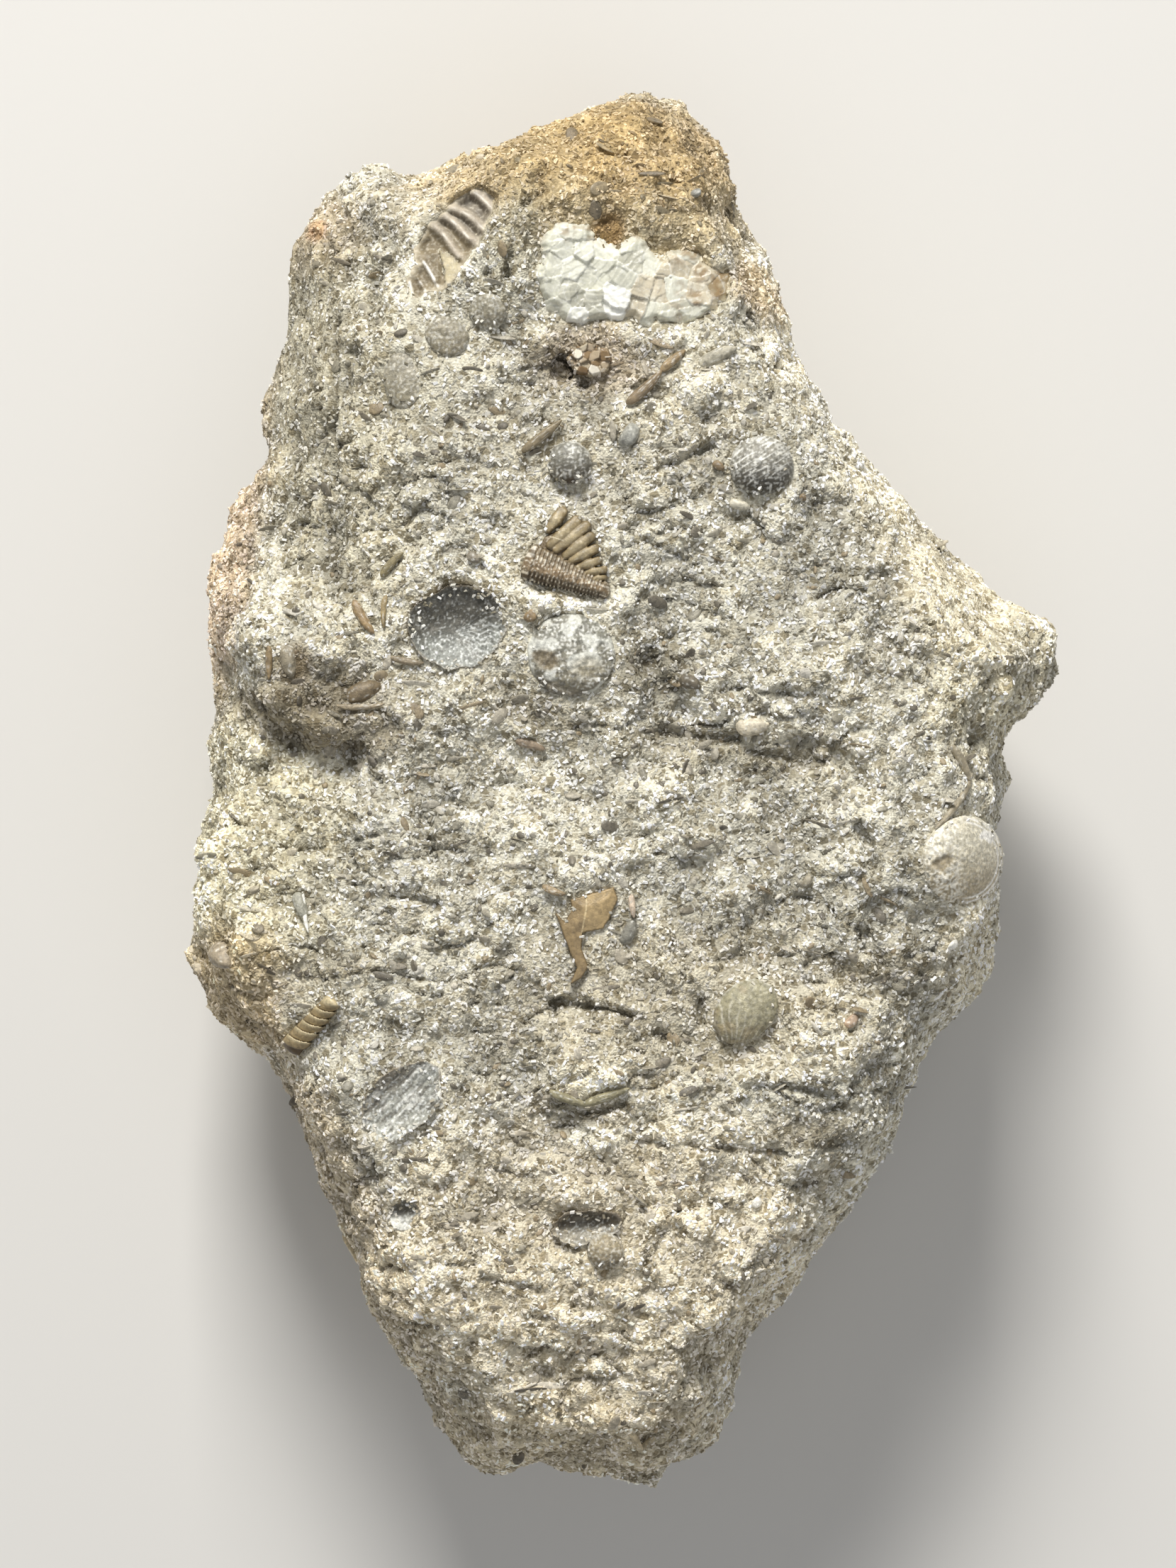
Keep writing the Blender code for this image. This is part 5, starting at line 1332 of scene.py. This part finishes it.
sugar_light = add(tree, "ShaderNodeMapRange", {
    "Value": add(tree, "ShaderNodeSeparateColor", {"Color": sugar_spot.outputs["Color"]}).outputs["Green"],
    "To Min": 0.72, "To Max": 1.18})
tinted = add(tree, "ShaderNodeMix", {
    "Factor": 1.0, "A": whitened.outputs["Result"], "B": tint}, data_type="RGBA", blend_type="MULTIPLY")
patches = add(tree, "ShaderNodeTexNoise", {"Vector": place, "Scale": per_metre(1.6), "Detail": 5.0})
patched = add(tree, "ShaderNodeMapRange", {
    "Value": patches.outputs["Fac"], "From Min": 0.3, "From Max": 0.7, "To Min": 1.5, "To Max": 2.1})
# Painted shade: the stone darkens in its recesses.
shade = add(tree, "ShaderNodeMapRange", {"Value": deep, "To Min": 0.5, "To Max": 1.15})
strength = add(tree, "ShaderNodeMath", {0: shade.outputs["Result"], 1: patched.outputs["Result"]},
               operation="MULTIPLY")
strength = add(tree, "ShaderNodeMath", {0: strength.outputs[0], 1: sugar_light.outputs["Result"]},
               operation="MULTIPLY")
lit = add(tree, "ShaderNodeVectorMath", {0: tinted.outputs["Result"], "Scale": strength.outputs[0]},
          operation="SCALE")
tree.links.new(lit.outputs[0], shader.inputs["Base Color"])
shader.inputs["Roughness"].default_value = 0.75
bump = add(tree, "ShaderNodeBump", {
    "Height": sugar_spot.outputs["Distance"], "Strength": 0.8, "Distance": 0.1 * MM}, invert=True)
tree.links.new(bump.outputs["Normal"], shader.inputs["Normal"])

stone_mesh.materials.clear()
stone_mesh.materials.append(limestone)
stone = fresh_object("stone", stone_mesh)
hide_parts("limestone_matrix")
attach(stone, "root")

# Grains of calcite stand all over the broken surface like coarse sugar. They are small slanted
# blocks half sunk in the stone, in clumps of one tone, one joined mesh for each fifth of them.
GRAIN_LONG = (0.10, 0.32)
GRAIN_WIDE = (0.07, 0.17)
GRAIN_TILT = 0.5
GRAIN_PARTS = 5
GRAINS_EACH = 15000
SIDE_SHARE = 0.45
GRAIN_TONES = ("#fbfaf6", "#eeece3", "#d8d5c8", "#c2bdac", "#a8a18e", "#8b8470")
GRAIN_SHARES = (0.20, 0.24, 0.21, 0.16, 0.12, 0.07)
BLOCK_LEAN = (0.25, 0.15)


def form_of(bm):
    """A small bmesh as its corners and the corners of each side, ready to be copied many times."""
    mesh = mesh_from("form", bm)
    return points_of(mesh), np.array([face.vertices[:] for face in mesh.polygons])


def skewed_block():
    """One grain of calcite: a cube that leans over, as the mineral's cleavage blocks do."""
    bm = bmesh.new()
    bmesh.ops.create_cube(bm, size=1.0)
    for vert in bm.verts:
        vert.co.x += BLOCK_LEAN[0] * vert.co.z
        vert.co.y += BLOCK_LEAN[1] * vert.co.z
    return form_of(bm)


def lying_turns(rng, facing, tilt, swing):
    """Turns that leave a long thing lying in a surface: a swing in it, then a random tilt."""
    count = len(facing)
    side = np.cross((0.0, 1.0, 0.0), facing)
    side /= np.linalg.norm(side, axis=1)[:, None] + 1e-9
    frames = np.stack([side, np.cross(facing, side), facing], axis=2)
    yaw = rng.uniform(-swing, swing, count)
    lean_x, lean_y = rng.normal(0.0, tilt, count), rng.normal(0.0, tilt * 0.5, count)
    one, zero = np.ones(count), np.zeros(count)
    spin = [np.cos(yaw), -np.sin(yaw), zero, np.sin(yaw), np.cos(yaw), zero, zero, zero, one]
    roll = [one, zero, zero, zero, np.cos(lean_x), -np.sin(lean_x), zero, np.sin(lean_x), np.cos(lean_x)]
    pitch = [np.cos(lean_y), zero, np.sin(lean_y), zero, one, zero, -np.sin(lean_y), zero, np.cos(lean_y)]
    spin, roll, pitch = (np.stack(parts, axis=1).reshape(-1, 3, 3) for parts in (spin, roll, pitch))
    return frames @ spin @ pitch @ roll


def joined_copies(name, form, places, sizes, spins, colours):
    """One mesh of many copies of a small form, each with its own place, size, turn and colour."""
    corners, sides = form
    spots = corners[None] * sizes[:, None, :]
    spots = np.einsum("nij,nkj->nki", spins, spots) + places[:, None, :]
    faces = sides[None] + (np.arange(len(places)) * len(corners))[:, None, None]
    mesh = bpy.data.meshes.new(name)
    mesh.from_pydata(spots.reshape(-1, 3), [], faces.reshape(-1, sides.shape[1]))
    keep_colours(mesh, "tint", np.repeat(colours, len(corners), axis=0))
    return mesh


stone_mesh.calc_loop_triangles()
triangles = np.array([tri.vertices[:] for tri in stone_mesh.loop_triangles])
corners = points_of(stone_mesh)[triangles]
crosses = np.cross(corners[:, 1] - corners[:, 0], corners[:, 2] - corners[:, 0])
areas = np.linalg.norm(crosses, axis=1) / 2
tri_normals = crosses / (2 * areas[:, None] + 1e-20)
heights = corners[:, :, 2].mean(axis=1)
in_face = (tri_normals[:, 2] > 0.3) & (heights > FRONT_FROM)


def scattered(rng, count, shares, dusting=0.0, clear=0.0):
    """Places over the stone's surface, few or none on the fossils, and the triangle under each."""
    weights = areas * shares
    chosen = rng.choice(len(triangles), size=count, p=weights / weights.sum())
    u, v = rng.random(count), rng.random(count)
    flip = u + v > 1
    u[flip], v[flip] = 1 - u[flip], 1 - v[flip]
    tri = corners[chosen]
    places = tri[:, 0] + u[:, None] * (tri[:, 1] - tri[:, 0]) + v[:, None] * (tri[:, 2] - tri[:, 0])
    keep = np.ones(count, dtype=bool)
    for low, high, shape, under, (share, reach) in laid:
        at = np.nonzero(np.all((places[:, :2] / MM > low) & (places[:, :2] / MM < high), axis=1)
                        & (places[:, 2] > FRONT_FROM))[0]
        if len(at):
            edge, height = shape(places[at] * FLAT)
            over = edge > 0.04 - clear
            rim = min(1.0, 2.5 * share) * soft(0.3 - edge, 0.0, 0.3)
            kept = dusting * np.maximum(rim, share * soft(reach - edge, 0.0, reach))
            keep[at] &= ~over | (rng.random(len(at)) < kept)
            top = (under(places[at, 0] / MM, places[at, 1] / MM) + height) * MM
            places[at, 2] = np.where(over, top, places[at, 2])
    return places[keep], chosen[keep]


# Sugary calcite: bright, slightly glassy faces that catch the light one by one.
sugar = bpy.data.materials.new("sugary calcite grains")
sugar.use_nodes = True
tree = sugar.node_tree
shader = tree.nodes["Principled BSDF"]
tint = add(tree, "ShaderNodeAttribute", attribute_name="tint").outputs["Color"]
tree.links.new(tint, shader.inputs["Base Color"])
shader.inputs["Roughness"].default_value = 0.6
shader.inputs["IOR"].default_value = 1.5

for part in range(GRAIN_PARTS):
    rng = np.random.default_rng(40 + part)
    shares = np.where(tri_normals[:, 2] > 0.3, 1.0, SIDE_SHARE) * (heights > 0.8 * MM)
    shares *= 1.0 - 0.6 * calm[triangles].mean(axis=1)
    places, chosen = scattered(rng, GRAINS_EACH, shares, 1.0)
    count = len(places)
    sizes = np.stack([rng.uniform(*span, count) for span in (GRAIN_LONG, GRAIN_WIDE, GRAIN_WIDE)], axis=1) * MM
    spins = lying_turns(rng, tri_normals[chosen], GRAIN_TILT, math.pi)
    order = np.concatenate([[0.0], np.cumsum(GRAIN_SHARES)])
    clump = cells_at(places, 0.6, 33.0)[1] * 0.5 + 0.5
    pick = np.where(rng.random(count) < 0.45, clump, rng.random(count))
    tones = np.clip(np.searchsorted(order, pick) - 1, 0, len(GRAIN_TONES) - 1)
    colours = np.array([linear(tone) for tone in GRAIN_TONES])[tones]
    stain_and_shading_tint = stained(places) / np.array(linear(STONE_GREY))
    # Painted shade: grains in the stone's recesses are darker. The stone's patches of painted light and shade
    # are carried into the grains too.
    shadowed = recess_shade[triangles[chosen]].mean(axis=1)
    patchy = 1.0 + 0.32 * noise_at(places, 1.7, 60.0) + 0.18 * noise_at(places, 0.7, 61.0)
    light = (0.72 + 0.5 * shadowed) * np.clip(patchy, 0.5, 1.3)
    colours = np.clip(colours * stain_and_shading_tint ** 0.9 * light[:, None], 0.0, 0.96)
    blocks = joined_copies("grains_%d" % (part + 1), skewed_block(), places, sizes, spins, colours)
    blocks.materials.append(sugar)
    grains = fresh_object("grains_%d" % (part + 1), blocks)
    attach(grains, "root")

# Broken shell all through the face: small rounded chips, larger lenses, and thin plates on edge that
# mostly lie across the stone. Each kind is one joined mesh of copies of one small lens.
CHIP_TONES = ("#8f8a7a", "#a29c8c", "#7c7566", "#b8b2a2", "#94866c", "#aaa392", "#6c6659", "#c9c4b6")
CHIP_KINDS = (
    ("shell_chips_small", 900, 2, (0.16, 0.34), (0.12, 0.24), (0.05, 0.11), 0.4, math.pi),
    ("shell_chips_large", 110, 3, (0.35, 0.7), (0.2, 0.42), (0.08, 0.16), 0.3, math.pi),
    ("shell_plates", 260, 2, (0.4, 1.1), (0.12, 0.26), (0.03, 0.05), 0.5, 0.5),
)


def chip_form(subdivisions):
    """A small ball of flat faces, as corners and sides, to be flattened into chips."""
    bm = bmesh.new()
    bmesh.ops.create_icosphere(bm, subdivisions=subdivisions, radius=1.0)
    return form_of(bm)


for number, (name, count, subdivisions, long, wide, thick, tilt, swing) in enumerate(CHIP_KINDS):
    rng = np.random.default_rng(90 + number)
    places, chosen = scattered(rng, count, (tri_normals[:, 2] > 0.7) * in_face, clear=0.5)
    count = len(places)
    sizes = np.stack([rng.uniform(*span, count) for span in (long, wide, thick)], axis=1)
    colours = np.array([linear(tone) for tone in CHIP_TONES])[rng.integers(len(CHIP_TONES), size=count)]
    colours = colours * (stained(places) / np.array(linear(STONE_GREY))) ** 0.6
    chips_mesh = joined_copies(name, chip_form(subdivisions), places, sizes * MM,
                               lying_turns(rng, tri_normals[chosen], tilt, swing), colours)
    chips_mesh.shade_smooth()
    chips_mesh.materials.append(shell_calcite)
    chips = fresh_object(name, chips_mesh)
    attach(chips, "root")

# The floor, the light and the camera: a pale floor, a broad soft light from the top of the picture
# with a weaker fill, and a camera straight above the stone as in the photograph.
FLOOR_HALF = 1.5
floor_bm = bmesh.new()
bmesh.ops.create_grid(floor_bm, x_segments=1, y_segments=1, size=FLOOR_HALF)
floor = fresh_object("floor", mesh_from("floor", floor_bm))
floor_finish = bpy.data.materials.new("pale studio paper")
floor_finish.use_nodes = True
shader = floor_finish.node_tree.nodes["Principled BSDF"]
shader.inputs["Base Color"].default_value = (*linear("#d8d6d1"), 1.0)
shader.inputs["Roughness"].default_value = 0.9
floor.data.materials.append(floor_finish)

CAMERA_AT = (-2.33 * MM, 0.41 * MM, 334.0 * MM)
CAMERA_LENS = 120.64
CAMERA_SENSOR = 36.0
camera_data = bpy.data.cameras.new("camera")
camera_data.lens = CAMERA_LENS
camera_data.sensor_width = CAMERA_SENSOR
camera_data.clip_start = 0.01
camera_data.clip_end = 5.0
camera = bpy.data.objects.new("camera", camera_data)
camera.location = CAMERA_AT
bpy.context.scene.collection.objects.link(camera)
bpy.context.scene.camera = camera


# Each light's name, place, width, power in watts and colour, and the point that they face.
STUDIO_LIGHTS = (
    ("key", (-0.08, 0.50, 0.42), 0.20, 5.3, "#fffdfa"),
    ("fill", (0.1, -0.4, 0.8), 0.9, 1.95, "#f4f7ff"),
)
FACING = (0.0, 0.0, 0.015)
ROOM_LIGHT = 0.24


def studio_light(name, place, size, power, colour):
    """A square soft light that faces the stone."""
    data = bpy.data.lights.new(name, "AREA")
    data.size = size
    data.energy = power
    data.color = linear(colour)
    lamp = bpy.data.objects.new(name, data)
    lamp.location = place
    aim = Vector(FACING) - Vector(place)
    lamp.rotation_euler = aim.to_track_quat("-Z", "Y").to_euler()
    bpy.context.scene.collection.objects.link(lamp)


for light_row in STUDIO_LIGHTS:
    studio_light(*light_row)
world = bpy.data.worlds.new("studio air")
world.use_nodes = True
world.node_tree.nodes["Background"].inputs["Color"].default_value = (1.0, 1.0, 1.0, 1.0)
world.node_tree.nodes["Background"].inputs["Strength"].default_value = ROOM_LIGHT
bpy.context.scene.world = world
bpy.context.scene.view_settings.view_transform = "Standard"
